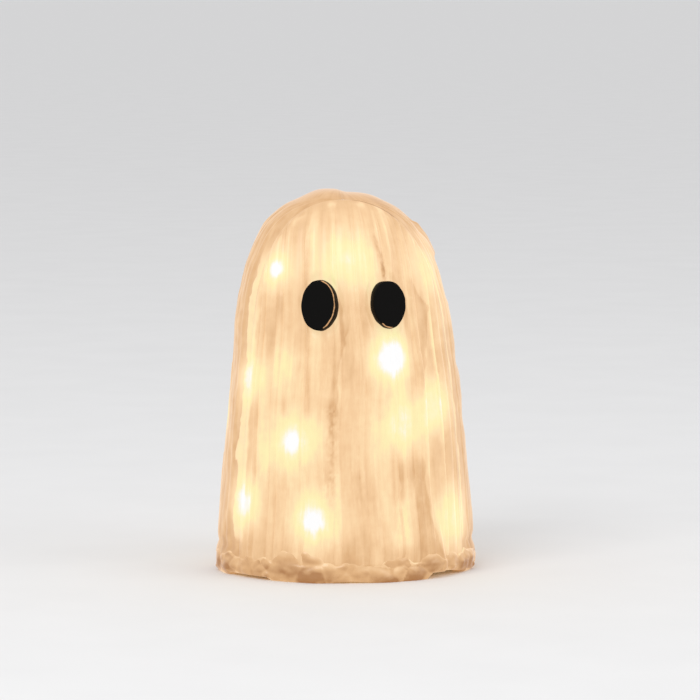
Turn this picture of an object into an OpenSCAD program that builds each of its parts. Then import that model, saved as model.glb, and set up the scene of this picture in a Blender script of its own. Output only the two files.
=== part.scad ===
// Light-up ghost: two welded acrylic shells of vertical strands on a thick hem, with a lamp string,
// a battery bay and a slide switch inside. Millimetres, +Z up, face towards -Y, and the origin on
// the floor under the middle of the body. Angles round the body start at the face, towards +X.

/* [Body] */
// Height from the floor to the crown
body_h = 200; // [185:1:240]
// Width of the shell at its foot, in the valleys between strands
body_w = 138; // [130:1:160]
// Depth of the shell at its foot, in the valleys between strands
body_d = 110; // [106:1:140]
// Height of the rounded crown
crown_h = 75; // [55:1:95]
// How square the shoulders are
crown_power = 2.65; // [2:0.05:3]
// How far each flank would draw in from the floor to the crown
flank_draw = 20.5; // [8:0.5:24]
// How much of that draw lies towards the crown
flank_power = 1.15; // [1:0.05:1.5]
// Sideways lean of the crown
crown_lean = -4; // [-8:0.5:8]
// Thickness of the acrylic in the valleys between strands
wall = 3.2; // [2.4:0.1:4.5]
// Distance in front of the body's middle at which the two shells are welded, at the foot
seam_foot = 26; // [14:1:30]
// The same distance at the crown
seam_crown = 19; // [12:1:24]

/* [Strands and folds] */
// Height of a strand over the valleys beside it
strand_h = 1.3; // [0.6:0.1:2]
// Strands across the front shell
front_strands = 22; // [12:1:26]
// Strands round the rear shell
rear_strands = 32; // [18:1:36]
// How uneven the strands' widths are
width_vary = 0.3; // [0:0.05:0.4]
// How uneven the strands' heights are
lift_vary = 0.5; // [0:0.05:0.8]
// Angle by which a strand wanders to either side on its way up
wander = 0.7; // [0:0.1:1.2]
// Height over which it wanders there and back
wander_run = 90; // [60:5:150]
// Height of the rear shell's two edge strands, as a share of the others' height
edge_share = 0.25; // [0:0.05:1]
// Folds round the foot
fold_count = 4; // [3:1:6]
// How far the shell is drawn in between two folds
fold_depth = 2.4; // [0:0.1:4]
// Height up to which the folds reach
fold_rise = 75; // [40:1:110]
// Angle by which the hollows between folds sit nearer to the sides
fold_shift = 10; // [0:1:14]
// How far the pleat at the front right laps out over the shell beside it
pleat_out = 2.4; // [0:0.1:3]
// Angle of the pleat's edge at the foot
pleat_at = 44; // [38:1:48]
// Height up to which the pleat reaches
pleat_rise = 42; // [25:1:60]

/* [Hem] */
// Height of the hem bead
hem_h = 9; // [8.5:0.1:12]
// How far the bead stands out from the shell
hem_out = 1.1; // [0.6:0.1:2]
// How far the bead reaches in under the shell and the base
hem_in = 9; // [7:0.1:11]
// How far the bead lifts off the floor between two folds
hem_lift = 3; // [0:0.1:4]

/* [Eyes] */
// Width of an eye
eye_w = 18; // [14:0.5:22]
// Height of an eye
eye_h = 25.5; // [20:0.5:30]
// Thickness of an eye
eye_t = 4; // [3:0.1:5]
// Height of the middle of the eyes
eye_z = 142.5; // [128:0.5:152]
// Angle of each eye from the middle of the face
eye_angle = 18.3; // [16:0.1:24]
// Angle by which both eyes sit towards +X
eye_shift = 1.3; // [-2:0.1:2]
// Slant of the left eye about its upright axis
left_eye_turn = -14; // [-16:1:16]
// Slant of the right eye about its upright axis
right_eye_turn = 2; // [-16:1:16]

/* [Lamp string] */
// Diameter of a lamp
lamp_d = 3; // [2.5:0.1:5]
// Length of a lamp with its rounded tip
lamp_l = 5.4; // [5:0.1:8]
// Diameter of the sleeve behind a lamp
sleeve_d = 4.4; // [4:0.1:6]
// Length of the sleeve behind a lamp
sleeve_l = 5; // [4:0.1:8]
// Diameter of the glue dab round a lamp, at the wall
dab_d = 8; // [7:0.1:11]
// Depth of the glue dab
dab_t = 2.6; // [2:0.1:3.5]
// Diameter of the lamp cable
cable_d = 1.8; // [1.2:0.1:2.4]

/* [Base] */
// Thickness of the base's floor
plate_t = 2.4; // [2:0.1:3.5]
// Height of the upstand round the base
rim_h = 7; // [4:0.5:12]
// Thickness of the upstand
rim_t = 1.8; // [1.4:0.1:3]
// Height of the stiffening ribs on the base
rib_h = 6; // [3:0.5:10]
// Sideways place of the middle of the battery bay
bay_x = -9; // [-12:0.5:-6]
// Thickness of the bay's walls
bay_wall = 1.6; // [1.2:0.1:2.4]
// How far the bay's mouth stands below the base's floor
mouth_drop = 2; // [1.6:0.1:2.4]

/* [Battery cells] */
// Diameter of a cell
cell_d = 14.3; // [13.5:0.1:14.5]
// Length of a cell with its button
cell_l = 50.5; // [49:0.1:51]
// Diameter of the button
button_d = 5.5; // [4:0.1:6]
// Length of the button
button_l = 1.2; // [1:0.1:2]
// Free room round each cell
cell_room = 0.5; // [0.3:0.1:1]
// Length of a contact spring as the cell presses it
spring_l = 5.4; // [5:0.1:7]
// Diameter of the spring wire
spring_wire = 0.9; // [0.6:0.05:1]
// Turns of a contact spring
spring_turns = 3; // [2:0.5:3]
// Thickness of the contact plates
contact_t = 0.5; // [0.3:0.05:0.8]
// Height of the contact plates
contact_h = 11; // [9:0.5:12]

/* [Battery door] */
// Thickness of the door
door_t = 2.4; // [2:0.1:2.6]
// Thickness of the rubber seal
seal_t = 1; // [0.8:0.1:1.4]
// Diameter of the hinge pins
pin_d = 2.6; // [2:0.1:3]
// Diameter of the hinge knuckles
knuckle_d = 4.8; // [4.4:0.1:5.4]
// Distance of each hinge lug from the middle of the door
lug_x = 18; // [12:0.5:22]
// Diameter of the door screw
screw_d = 2.8; // [2.4:0.1:3.2]
// Diameter of the screw's head
head_d = 5.4; // [5:0.1:6]
// Height of the screw's head
head_h = 1.8; // [1.5:0.1:2]
// Diameter of the boss that takes the screw
boss_d = 8; // [7.4:0.1:9]

/* [Control board] */
// Width of the board
board_w = 17; // [15:0.5:19]
// Length of the board
board_l = 30; // [28:0.5:36]
// Thickness of the board
board_t = 1.2; // [1:0.1:1.8]
// Width of the slide switch
switch_w = 7; // [6.6:0.1:8]
// Length of the slide switch
switch_l = 13; // [12.6:0.1:15]
// Height of the slide switch
switch_h = 4.8; // [4.5:0.1:6]
// Travel of the slider, from on to timer
slider_travel = 4; // [3:0.1:4.2]
// Width and length of the slider's knob
knob_w = 3; // [2.4:0.1:3.4]
// How far the knob stands out below the base's floor
knob_out = 2.4; // [1.5:0.1:3.5]

/* [Hidden] */
$fn = 48;

// Clearances: glued seat on a wall, base inside the shell, contact faces, hinge pins, sliding faces
seat_gap = 0.65;
base_gap = 0.6;
touch_gap = 0.05;
pin_gap = 0.06;
slide_gap = 0.25;
screw_gap = 0.35;
swing_gap = 0.5;

// Shell grid: rows up to the weld's top, rows over the crown, how much closer both lie higher up, and
// samples across one strand
shell_rows = 16;
crown_rows = 3;
shell_bias = 1.8;
crown_bias = 2;
strand_samples = 4;

// Strands: turn from one to the next in the spread of widths and heights, angle of the outermost front
// ones at the foot, how much they draw together over the crown, how near the weld they end and fade,
// and the room before the weld's line in which they run out
spread_turn = 137.5;
face_reach = 62.2;
converge = 0.6;
weld_snap = 0.6;
weld_fade = 3;
crowd_room = 12;
// Pleat: angle over which it rises to its edge and falls behind it, and its edge's slant per millimetre
pleat_w = 14;
pleat_fall = 3;
pleat_slant = 0.25;
// Hem: how steeply its edge lifts, how far the feet spread past the folds, and their turn towards -X
lift_steep = 5;
foot_spread = 0.35;
foot_turn = 3.5;

// Lamps in the order in which the cable meets them: angle round the body, share of its height
lamp_places = [
  [53, 0.15], [-20, 0.16], [-57, 0.20], [-120, 0.21], [-190, 0.18],
  [-260, 0.38], [-314, 0.45], [-335, 0.405], [-391, 0.365], [-465, 0.41], [-550, 0.43],
  [-590, 0.60], [-701, 0.575], [-754, 0.535], [-780, 0.515], [-850, 0.61],
  [-900, 0.80], [-1025, 0.805], [-1081, 0.84], [-1126, 0.81]
];
cable_step = 16;
// The cable's way from the board to the first lamp, from the middle of the board's top
cable_lead = [[3, -2, 0.3], [4, -2.4, 4], [7.5, -4, 8], [10.5, -8, 11]];

// Heights of the base, its bay and its door, from the floor up
plate_top = hem_h + plate_t;
rim_top = plate_top + rim_h;
mouth_z = hem_h - mouth_drop;
door_top = mouth_z - seal_t;
door_z = door_top - door_t;
cell_z = door_top + cell_room + cell_d / 2;
roof_z = cell_z + cell_d / 2 + cell_room;
roof_top = roof_z + bay_wall;
// The bay's plan
cell_pitch = cell_d + cell_room;
bay_l = 2 * (contact_t + touch_gap) + spring_l + cell_l + touch_gap;
bay_w = 3 * cell_d + 4 * cell_room;
bay_left = bay_x - bay_l / 2;
bay_right = bay_x + bay_l / 2;
bay_out = bay_w / 2 + bay_wall;
corner_r = 0.8;
// Hinge line and door screw
hinge_room = 0.4;
hinge_y = bay_out + knuckle_d / 2 + hinge_room;
hinge_z = door_z + knuckle_d / 2;
lug_w = 5;
knuckle_w = 6;
boss_lap = 0.6;
boss_h = 9;
screw_bite = 3.4;
screw_sunk = 0.2;
tip_d = 0.8;
screw_y = -(bay_out + boss_d / 2 - boss_lap);
screw_l = mouth_z - door_z + screw_bite - head_h;
// Finger ribs under the door: width, length, height and pitch
grip_w = 1.2;
grip_l = 16;
grip_h = 0.6;
grip_pitch = 3;
// Control board: room beside the bay, its posts, chip, crystal and screws
board_room = 2.5;
board_x = bay_right + bay_wall + board_room + board_w / 2;
board_z = plate_top + touch_gap + switch_h;
board_top = board_z + board_t;
post_in = 3.2;
post_y = board_l / 2 - post_in;
post_d = 5;
pilot_d = 2;
chip_size = [4, 5, 1.4];
chip_at = [-6, -2.5];
chip_lift = 0.2;
leg_size = [6, 0.4, 0.5];
leg_pitch = 1.27;
leg_count = 4;
can_d = 2;
can_l = 5.5;
can_rim = 0.3;
can_at = [4, 4.5];
can_z = (can_d + can_rim) / 2 + touch_gap;
pan_d = 4;
pan_h = 1.4;
thread_l = 4;
// Slide switch: floor under its slider, side walls, and the slider's plate
switch_floor = 0.8;
switch_side = 1;
slider_t = 1.4;
slider_l = 5.6;
slot_room = contact_t + 3 * touch_gap;
tab_w = 3.2;
tab_out = 3;
// Leads: diameter, the place of the two pads from the middle of the board, and how far each lead runs
// out from its tab and how far it drops on its pad
lead_d = 1.3;
pad_at = [-4.5, 9];
lead_steps = 14;
pad_z = board_top + 2 * touch_gap;
tab_z = roof_top + tab_out / 2 + lead_d / 4;
positive_run = 4;
positive_drop = 7;
negative_run = 20;
negative_drop = 15;
// Lamps: flange at the sleeve, and the glue's collar behind
flange = 0.8;
dab_collar = 2.4;
// Eyes: gap to the shell, bevel, how far the strands are pressed flat beside and above them, and how
// steeply they rise again
eye_gap = 0.3;
eye_bevel = 0.5;
press_side = 3;
press_end = 10;
press_steep = 5;
// Contact springs: radius at the plate, and how much narrower they are at the cell
spring_r = 4.6;
spring_taper = 1.6;
spring_steps = 12;
spring_near = 4;
// Crimped edges of a cell
crimp = 1;
button_edge = 0.3;
// Glue between the base and the shell
fillet_angles = [54, 140, 220, 306];
fillet_h = 4;
fillet_step = 3;
// How far a cut runs past the face that it opens, and how far joined shapes reach into each other
cut = 1;
lap = 0.5;

// Small helpers
function unit(v) = v / norm(v);
function ramp(x) = min(1, max(0, x));
function quad(a, b, c, d) = [[a, b, c], [a, c, d]];
function bezier(p, t) =
  pow(1 - t, 3) * p[0] + 3 * pow(1 - t, 2) * t * p[1] + 3 * (1 - t) * t * t * p[2] + t * t * t * p[3];

// Body surface: the outer face at inset 0, the inner face at an inset of one wall
crown_foot = body_h - crown_h;
function dome(z, inset) =
  z <= crown_foot ? 1
  : pow(max(0, 1 - pow((z - crown_foot) / (crown_h - inset), crown_power)), 1 / crown_power);
function level(z, inset) =
  z <= crown_foot ? z : crown_foot + (z - crown_foot) * (crown_h - inset) / crown_h;
function draw(z) = flank_draw * pow(z / body_h, flank_power);
function half_w(z, inset = 0) = (body_w / 2 - inset - draw(z)) * dome(z, inset);
function half_d(z, inset = 0) = (body_d / 2 - inset - draw(z) * body_d / body_w) * dome(z, inset);
function lean(z) = crown_lean * pow(z / body_h, 3);
function fold_wave(a) = cos(fold_count * (a - fold_shift * sin(2 * a)));
function fold(a, z) =
  -fold_depth * (1 - fold_wave(a)) / 2 * pow(ramp(1 - (z - hem_h) / fold_rise), 2);
function pleat(a, z) =
  let (past = a - pleat_at + pleat_slant * (z - hem_h))
  pleat_out * ramp(1 - (z - hem_h) / pleat_rise) * ramp(1 + past / pleat_w) * ramp(1 - past / pleat_fall);
function skin(a, z, inset = 0, swell = 0) =
  let (zi = level(z, inset), out = fold(a, z) + swell)
  [(half_w(zi, inset) + out) * sin(a) + lean(zi), -(half_d(zi, inset) + out) * cos(a), zi];
// Frame on that surface: the point, the way round, the way up and the outward normal
function skin_frame(a, z, inset = 0) =
  let (
    round_way = skin(a + 1, z, inset) - skin(a - 1, z, inset),
    up_way = skin(a, z + 1, inset) - skin(a, z - 1, inset),
    n = unit(cross(round_way, up_way)),
    e = unit(round_way)
  )
  [skin(a, z, inset), e, cross(n, e), n];
function off_wall(a, z, inset, depth) =
  let (f = skin_frame(a, z, inset)) f[0] - depth * f[3];
// Point at a height and a gap from the inner face, and the plan of the base, which has to pass the
// shell at the top of its upstand
function inside(a, z, gap) = let (p = off_wall(a, z, wall, gap)) [p.x, p.y, z];
function plan(gap) = [for (a = [0:5:355]) let (p = inside(a, rim_top, gap)) [p.x, p.y]];

// Weld: its distance in front of the middle and its angle from the face at each height, and the
// height at which it crosses the crown
function seam(z) = seam_foot + (seam_crown - seam_foot) * z / body_h;
function weld_height(low, high, steps) =
  let (mid = (low + high) / 2)
  steps == 0 ? mid
  : half_d(mid) > seam(mid) ? weld_height(mid, high, steps - 1) : weld_height(low, mid, steps - 1);
weld_top = weld_height(crown_foot, body_h, 24);
function weld_angle(z) = z > weld_top - 0.001 ? 0 : acos(min(1, seam(z) / half_d(z)));
front_levels =
  [for (i = [0:shell_rows]) hem_h + (weld_top - hem_h) * (1 - pow(1 - i / shell_rows, shell_bias))];
crown_levels =
  [for (i = [1:crown_rows]) weld_top + (body_h - weld_top) * (1 - pow(1 - i / crown_rows, crown_bias))];

// Strands: the share of its shell at which strand k of n starts, its share of the full height, and how
// far it stands off its line at a height
function strand_start(k, n) = (k + (k == 0 || k == n ? 0 : width_vary * sin(spread_turn * k))) / n;
function strand_share(k) = 1 - lift_vary * (1 + cos(spread_turn * k)) / 2;
function sway(a, z) = wander * sin(360 * z / wander_run + 2 * a);
// Angle at a share of the front: its strands stand upright, draw together over the crown and end at
// the weld
function front_angle(share, z) =
  let (
    weld = weld_angle(z),
    line = face_reach * (2 * share - 1),
    across = sin(line + sway(line, z)) / pow(dome(z, 0), converge),
    a = asin(max(-1, min(1, across)))
  )
  share > 0 && share < 1 && abs(a) < weld - weld_snap ? a : share < 0.5 ? -weld : weld;
// Angle at a share of the rear, from weld to weld
function rear_angle(share, z) =
  let (weld = weld_angle(z), a = weld + (360 - 2 * weld) * share)
  a + sway(a, z) * sin(180 * share);
// Strands are pressed flat under the eyes, fade at the weld and run out where they crowd together
function pressed(a, z) =
  min([for (s = [-1, 1])
    let (
      across = (a - s * eye_angle - eye_shift) * PI / 180 * half_w(z),
      off = norm([across / (eye_w / 2 + press_side), (z - eye_z) / (eye_h / 2 + press_end)])
    )
    ramp((off - 1) * press_steep)]);
function fade(a, z) = ramp(abs(min(a, 360 - a) - weld_angle(z)) * PI / 180 * half_w(z) / weld_fade);
function run_out(z) = ramp((half_d(z) - seam(z)) / crowd_room);

// One welded shell: a strand-ribbed outer sheet and a plain inner sheet, joined along the foot and the
// weld. Its lines run at angle(share, z), its upper rows close on themselves, and its two edge strands
// have a share of the others' height.
module strand_shell(levels, angle, strands, edge, open_rows) {
  rows = len(levels) - 1;
  cols = strands * strand_samples;
  starts = [for (k = [0:strands]) strand_start(k, strands)];
  outer = [for (z = levels) for (j = [0:cols])
    let (
      k = min(strands - 1, floor(j / strand_samples)),
      part = j / strand_samples - k,
      a = angle(starts[k] + (starts[k + 1] - starts[k]) * part, z),
      lift = strand_share(k) * (k == 0 || k == strands - 1 ? edge : 1),
      crest = 4 * part * (1 - part) * pressed(a, z) * fade(abs(a), z) * run_out(z)
    )
    skin(a, z, 0, strand_h * lift * crest + pleat(a, z))];
  inner = [for (z = levels) for (share = starts)
    let (a = angle(share, z)) skin(a, z, wall, pleat(a, z))];
  points = concat(outer, inner);
  o = function (i, j) i * (cols + 1) + j;
  n = function (i, k) len(outer) + i * (strands + 1) + k;
  faces = concat(
    [for (i = [0:rows - 1]) for (j = [0:cols - 1])
      each quad(o(i, j), o(i + 1, j), o(i + 1, j + 1), o(i, j + 1))],
    [for (i = [0:rows - 1]) for (k = [0:strands - 1])
      each quad(n(i, k), n(i, k + 1), n(i + 1, k + 1), n(i + 1, k))],
    [for (j = [0:cols - 1]) [n(0, floor(j / strand_samples)), o(0, j), o(0, j + 1)]],
    [for (k = [0:strands - 1]) [n(0, k), o(0, (k + 1) * strand_samples), n(0, k + 1)]],
    [for (i = [0:open_rows - 1]) each quad(o(i, 0), n(i, 0), n(i + 1, 0), o(i + 1, 0))],
    [for (i = [0:open_rows - 1])
      each quad(o(i, cols), o(i + 1, cols), n(i + 1, strands), n(i, strands))]
  );
  whole = [for (f = faces)
    if (norm(points[f[0]] - points[f[1]]) > 1e-6
      && norm(points[f[1]] - points[f[2]]) > 1e-6
      && norm(points[f[2]] - points[f[0]]) > 1e-6) f];
  polyhedron(points, whole);
}

// Solid through a row of like loops, closed into a ring or capped at both ends
module loft(loops, ring = false) {
  m = len(loops[0]);
  last = len(loops) - 1;
  at = function (i, j) (i % len(loops)) * m + j % m;
  sides = [for (i = [0:ring ? last : last - 1]) for (j = [0:m - 1])
    each quad(at(i, j), at(i + 1, j), at(i + 1, j + 1), at(i, j + 1))];
  caps = ring ? [] : concat(
    [for (j = [1:m - 2]) [at(0, 0), at(0, j), at(0, j + 1)]],
    [for (j = [1:m - 2]) [at(last, 0), at(last, j + 1), at(last, j)]]);
  polyhedron([for (l = loops) each l], concat(sides, caps));
}

// Round tube along a path; side_way is a direction that the path never takes
module tube(path, d, sides, side_way) {
  last = len(path) - 1;
  loft([for (i = [0:last])
    let (
      t = unit(path[min(last, i + 1)] - path[max(0, i - 1)]),
      n = unit(cross(side_way, t)),
      b = cross(t, n)
    )
    [for (k = [0:sides - 1]) path[i] + d / 2 * (cos(360 * k / sides) * n + sin(360 * k / sides) * b)]]);
}

// Places children with their +Z along the outward normal of the inner wall
module on_wall(a, z) {
  f = skin_frame(a, z, wall);
  multmatrix([
    [f[1].x, f[2].x, f[3].x, f[0].x],
    [f[1].y, f[2].y, f[3].y, f[0].y],
    [f[1].z, f[2].z, f[3].z, f[0].z]
  ]) children();
}

module at_lamps() {
  for (p = lamp_places) on_wall(p[0], p[1] * body_h) children();
}

module front_shell() {
  color("#f8dcb4")
  strand_shell(front_levels, function (share, z) front_angle(share, z), front_strands, 1, shell_rows);
}

module rear_shell() {
  color("#f3d3a8")
  strand_shell(concat(front_levels, crown_levels), function (share, z) rear_angle(share, z),
    rear_strands, edge_share, shell_rows);
}

// Lumpy bead under the shell: flat feet under the folds, lifted off the floor between them, and a
// plain oval on the inside that the base rests on
module hem_bead() {
  turns = 96;
  color("#d9c1ac")
  loft([for (i = [0:turns - 1])
    let (
      a = 360 * i / turns,
      low = hem_lift * ramp(-lift_steep * (fold_wave(a + foot_turn) + foot_spread)),
      bulge = hem_out * (1 + (0.3 * sin(13 * a) + 0.2 * sin(22 * a + 40)) * pow(cos(a), 2)),
      foot = skin(a, hem_h, 0, pleat(a, hem_h)),
      out = [sin(a), -cos(a), 0],
      edge = [(half_w(hem_h) - hem_in) * sin(a), -(half_d(hem_h) - hem_in) * cos(a)],
      at = function (reach, share) [foot.x, foot.y, low + (hem_h - low) * share] + reach * out
    )
    [[edge.x, edge.y, low], [edge.x, edge.y, hem_h], at(0.3 * bulge, 1), at(0.9 * bulge, 0.75),
      at(bulge, 0.4), at(0.5 * bulge, 0)]], true);
}

// Oval plug: its back follows the shell, its flat face is slanted by turn
module eye(side, turn) {
  at = side * eye_angle + eye_shift;
  f = skin_frame(at, eye_z);
  face_way = cos(turn) * f[3] + sin(turn) * f[1];
  face_side = cos(turn) * f[1] - sin(turn) * f[3];
  oval = [for (k = [0:31]) [eye_w / 2 * cos(k * 360 / 32), eye_h / 2 * sin(k * 360 / 32)]];
  reach = norm([half_w(eye_z) * cos(at), half_d(eye_z) * sin(at)]);
  back = function (p) off_wall(at + p.x / reach * 180 / PI, eye_z + p.y, 0, -eye_gap);
  face = function (p, t) f[0] + t * face_way + p.x * face_side + p.y * f[2];
  loft([
    for (share = [0.25, 0.6, 1]) [for (p = oval) back(share * p)],
    [for (p = oval) face(p, eye_t - eye_bevel)],
    [for (p = oval) face((1 - 2 * eye_bevel / eye_w) * p, eye_t)]
  ]);
}

module left_eye() {
  color("#14110f") eye(-1, left_eye_turn);
}

module right_eye() {
  color("#14110f") eye(1, right_eye_turn);
}

// Lamp: round tip at the wall, straight body and a flange at the sleeve
module led_lamps() {
  color("#fff3c4") at_lamps() translate([0, 0, -seat_gap - lamp_l]) {
    cylinder(d = lamp_d, h = lamp_l - lamp_d / 2);
    translate([0, 0, lamp_l - lamp_d / 2]) sphere(d = lamp_d);
    cylinder(d = lamp_d + flange, h = flange);
  }
}

module lamp_sleeves() {
  color("#f4f1e8") at_lamps() translate([0, 0, -seat_gap - lamp_l - touch_gap - sleeve_l])
    cylinder(d1 = sleeve_d - flange, d2 = sleeve_d, h = sleeve_l);
}

module lamp_glue() {
  color("#efe6d2") at_lamps() translate([0, 0, -seat_gap - dab_t]) difference() {
    cylinder(d1 = lamp_d + dab_collar, d2 = dab_d, h = dab_t);
    translate([0, 0, -cut]) cylinder(d = lamp_d + 2 * touch_gap, h = dab_t + 2 * cut);
  }
}

// Cable from the board round the inside of the shell, touching the end of each sleeve
module lamp_cable() {
  depth = seat_gap + lamp_l + touch_gap + sleeve_l + cable_d / 2 + touch_gap;
  start = [board_x, 0, board_top];
  lead = [for (p = cable_lead) start + p];
  string = [for (i = [0:len(lamp_places) - 2])
    let (p = lamp_places[i], q = lamp_places[i + 1], steps = ceil(abs(q[0] - p[0]) / cable_step))
    for (s = [0:steps - 1])
      let (m = p + (q - p) * s / steps) off_wall(m[0], m[1] * body_h, wall, depth)];
  end = lamp_places[len(lamp_places) - 1];
  color("#e9e4d8")
  tube(concat(lead, string, [off_wall(end[0], end[1] * body_h, wall, depth)]), cable_d, 8,
    [0.25, 0.1, 1]);
}

// Box with rounded upright edges
module soft_box(size, r) {
  for (x = [r, size.x - r], y = [r, size.y - r]) translate([x, y, 0]) cylinder(r = r, h = size.z);
  translate([r, 0, 0]) cube([size.x - 2 * r, size.y, size.z]);
  translate([0, r, 0]) cube([size.x, size.y - 2 * r, size.z]);
}

module bay_box(grow, low, high) {
  translate([bay_left - grow, -bay_w / 2 - grow, low])
    soft_box([bay_l + 2 * grow, bay_w + 2 * grow, high - low], grow + corner_r);
}

// Base with its battery bay, hinge lugs, screw boss, board posts and switch slot
module base_moulding() {
  color("#ece8de") difference() {
    union() {
      translate([0, 0, hem_h]) linear_extrude(plate_t) polygon(plan(base_gap));
      translate([0, 0, hem_h]) linear_extrude(rim_top - hem_h) difference() {
        polygon(plan(base_gap));
        polygon(plan(base_gap + rim_t));
      }
      bay_box(bay_wall, mouth_z, roof_top);
      translate([bay_x, screw_y, mouth_z]) cylinder(d = boss_d, h = boss_h);
      for (s = [-1, 1]) {
        translate([board_x, s * post_y, hem_h]) cylinder(d = post_d, h = board_z - hem_h);
        translate([bay_x + s * lug_x, hinge_y, 0]) hinge_lug();
      }
      translate([0, 0, hem_h]) linear_extrude(plate_t + rib_h) intersection() {
        polygon(plan(base_gap + rim_t / 2));
        stiffeners();
      }
    }
    translate([0, 0, mouth_z - cut]) bay_hollow(roof_z - mouth_z + cut);
    translate([bay_x, screw_y, mouth_z - cut]) cylinder(d = screw_d + 2 * swing_gap, h = boss_h - cut);
    for (s = [-1, 1]) {
      translate([board_x, s * post_y, plate_top]) cylinder(d = pilot_d, h = board_z);
      translate([bay_x + s * lug_x - lug_w, hinge_y, hinge_z]) rotate([0, 90, 0])
        cylinder(d = pin_d + 2 * pin_gap, h = 2 * lug_w);
    }
    translate([bay_right - slot_room, cell_pitch, roof_z - cut]) tab_slot();
    translate([bay_left, -cell_pitch, roof_z - cut]) tab_slot();
    translate([board_x, 0, hem_h - cut]) knob_slot(plate_t + 2 * cut);
  }
}

// Cuts: a solder tab's way through the bay's roof, and the knob's way through a floor
module tab_slot() {
  translate([0, -tab_w / 2 - slide_gap, 0]) cube([slot_room, tab_w + 2 * slide_gap, bay_wall + 2 * cut]);
}

module knob_slot(h) {
  across = knob_w + 2 * slide_gap;
  along = across + slider_travel;
  translate([-across / 2, -along / 2, 0]) cube([across, along, h]);
}

// Plan of the ribs that run from the bay's walls to the upstand
module stiffeners() {
  for (s = [-1, 1]) {
    translate([bay_x + s * bay_l / 4 - rim_t / 2, bay_out - rim_t / 2]) square([rim_t, body_d]);
    translate([bay_left - body_w, s * bay_w / 4 - rim_t / 2]) square([body_w - rim_t / 2, rim_t]);
  }
}

module bay_hollow(h) {
  translate([bay_left, -bay_w / 2, 0]) cube([bay_l, bay_w, h]);
}

// Lug that hangs from the base's floor and takes one hinge pin
module hinge_lug() {
  translate([-lug_w / 2, 0, hinge_z]) rotate([0, 90, 0]) cylinder(d = knuckle_d, h = lug_w);
  translate([-lug_w / 2, -knuckle_d / 2, hinge_z]) cube([lug_w, knuckle_d, hem_h + lap - hinge_z]);
}

// Hot-melt fillets between the base's upstand and the shell
module base_glue() {
  low = rim_top + touch_gap;
  color("#efe6d2") for (middle = fillet_angles)
    loft([for (i = [-3:3])
      let (a = middle + fillet_step * i, size = fillet_h * (1 - i * i / 16))
      [inside(a, low, base_gap + rim_t), inside(a, low + size, seat_gap), inside(a, low, seat_gap)]]);
}

// Door under the bay: plate with finger ribs, screw tongue, and knuckles whose pins run in the lugs
module battery_door() {
  tongue_h = mouth_z - touch_gap - door_z;
  pin_l = lug_w + slide_gap + lap;
  color("#ece8de") difference() {
    union() {
      translate([0, 0, door_z]) {
        translate([bay_left - bay_wall, -bay_out, 0])
          soft_box([bay_l + 2 * bay_wall, 2 * bay_out, door_t], bay_wall + corner_r);
        translate([bay_x, screw_y, 0]) cylinder(d = boss_d, h = tongue_h);
        translate([bay_x - boss_d / 2, screw_y, 0]) cube([boss_d, boss_d / 2, door_t]);
      }
      for (s = [-1, 1]) {
        inner_x = bay_x + s * (lug_x - lug_w / 2 - slide_gap - knuckle_w / 2);
        translate([inner_x - knuckle_w / 2, hinge_y, hinge_z]) rotate([0, 90, 0])
          cylinder(d = knuckle_d, h = knuckle_w);
        translate([inner_x - knuckle_w / 2, bay_out - lap, door_z])
          cube([knuckle_w, hinge_y - bay_out + lap, door_t]);
        translate([inner_x + s * (knuckle_w / 2 - lap), hinge_y, hinge_z]) rotate([0, s * 90, 0])
          cylinder(d = pin_d, h = pin_l);
        translate([bay_x + s * bay_l / 4, 0, door_z]) grip_ribs();
      }
    }
    translate([bay_x - boss_d, -bay_out - slide_gap, door_top]) cube([2 * boss_d, boss_d, tongue_h]);
    translate([bay_x, screw_y, door_z - cut]) {
      cylinder(d = screw_d + 2 * screw_gap, h = tongue_h + 2 * cut);
      cylinder(d = head_d + 2 * screw_gap, h = head_h + cut + screw_sunk);
    }
  }
}

module grip_ribs() {
  for (i = [-2:2]) translate([i * grip_pitch - grip_w / 2, -grip_l / 2, -grip_h])
    cube([grip_w, grip_l, grip_h + lap]);
}

module door_seal() {
  color("#3a3a3c") difference() {
    bay_box(bay_wall, door_top + touch_gap, mouth_z);
    translate([0, 0, door_top - cut]) bay_hollow(seal_t + 2 * cut);
  }
}

module door_screw() {
  tip_z = head_h + screw_l - screw_d / 2;
  color("#b9bcc0") translate([bay_x, screw_y, door_z + screw_sunk]) difference() {
    union() {
      cylinder(d = head_d, h = head_h);
      cylinder(d = screw_d, h = tip_z);
      translate([0, 0, tip_z]) cylinder(d1 = screw_d, d2 = tip_d, h = screw_d / 2);
    }
    translate([0, 0, -cut]) cross_slot(head_d, head_h / 2 + cut);
  }
}

// Cross recess in a screw's head
module cross_slot(d, h) {
  arm = 0.56 * d;
  slot_w = 0.13 * d;
  for (turn = [0, 90]) rotate([0, 0, turn]) translate([-arm / 2, -slot_w / 2, 0]) cube([arm, slot_w, h]);
}

// Round cell along +X: negative end at the origin, crimped shoulders and a button
module cell() {
  tin_l = cell_l - button_l;
  rotate([0, 90, 0]) rotate_extrude() polygon([
    [0, 0], [cell_d / 2 - crimp, 0], [cell_d / 2, crimp],
    [cell_d / 2, tin_l - crimp], [cell_d / 2 - crimp, tin_l], [button_d / 2, tin_l],
    [button_d / 2, cell_l - button_edge], [button_d / 2 - button_edge, cell_l], [0, cell_l]
  ]);
}

// A cell in lane -1, 0 or 1; the middle one lies the other way round
module seated_cell(lane) {
  seat = contact_t + touch_gap + spring_l;
  translate([lane == 0 ? bay_right - seat : bay_left + seat, lane * cell_pitch, cell_z])
    rotate([0, 0, lane == 0 ? 180 : 0]) cell();
}

module battery_1() {
  color("#3c6e57") seated_cell(-1);
}

module battery_2() {
  color("#3c6e57") seated_cell(0);
}

module battery_3() {
  color("#3c6e57") seated_cell(1);
}

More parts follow.
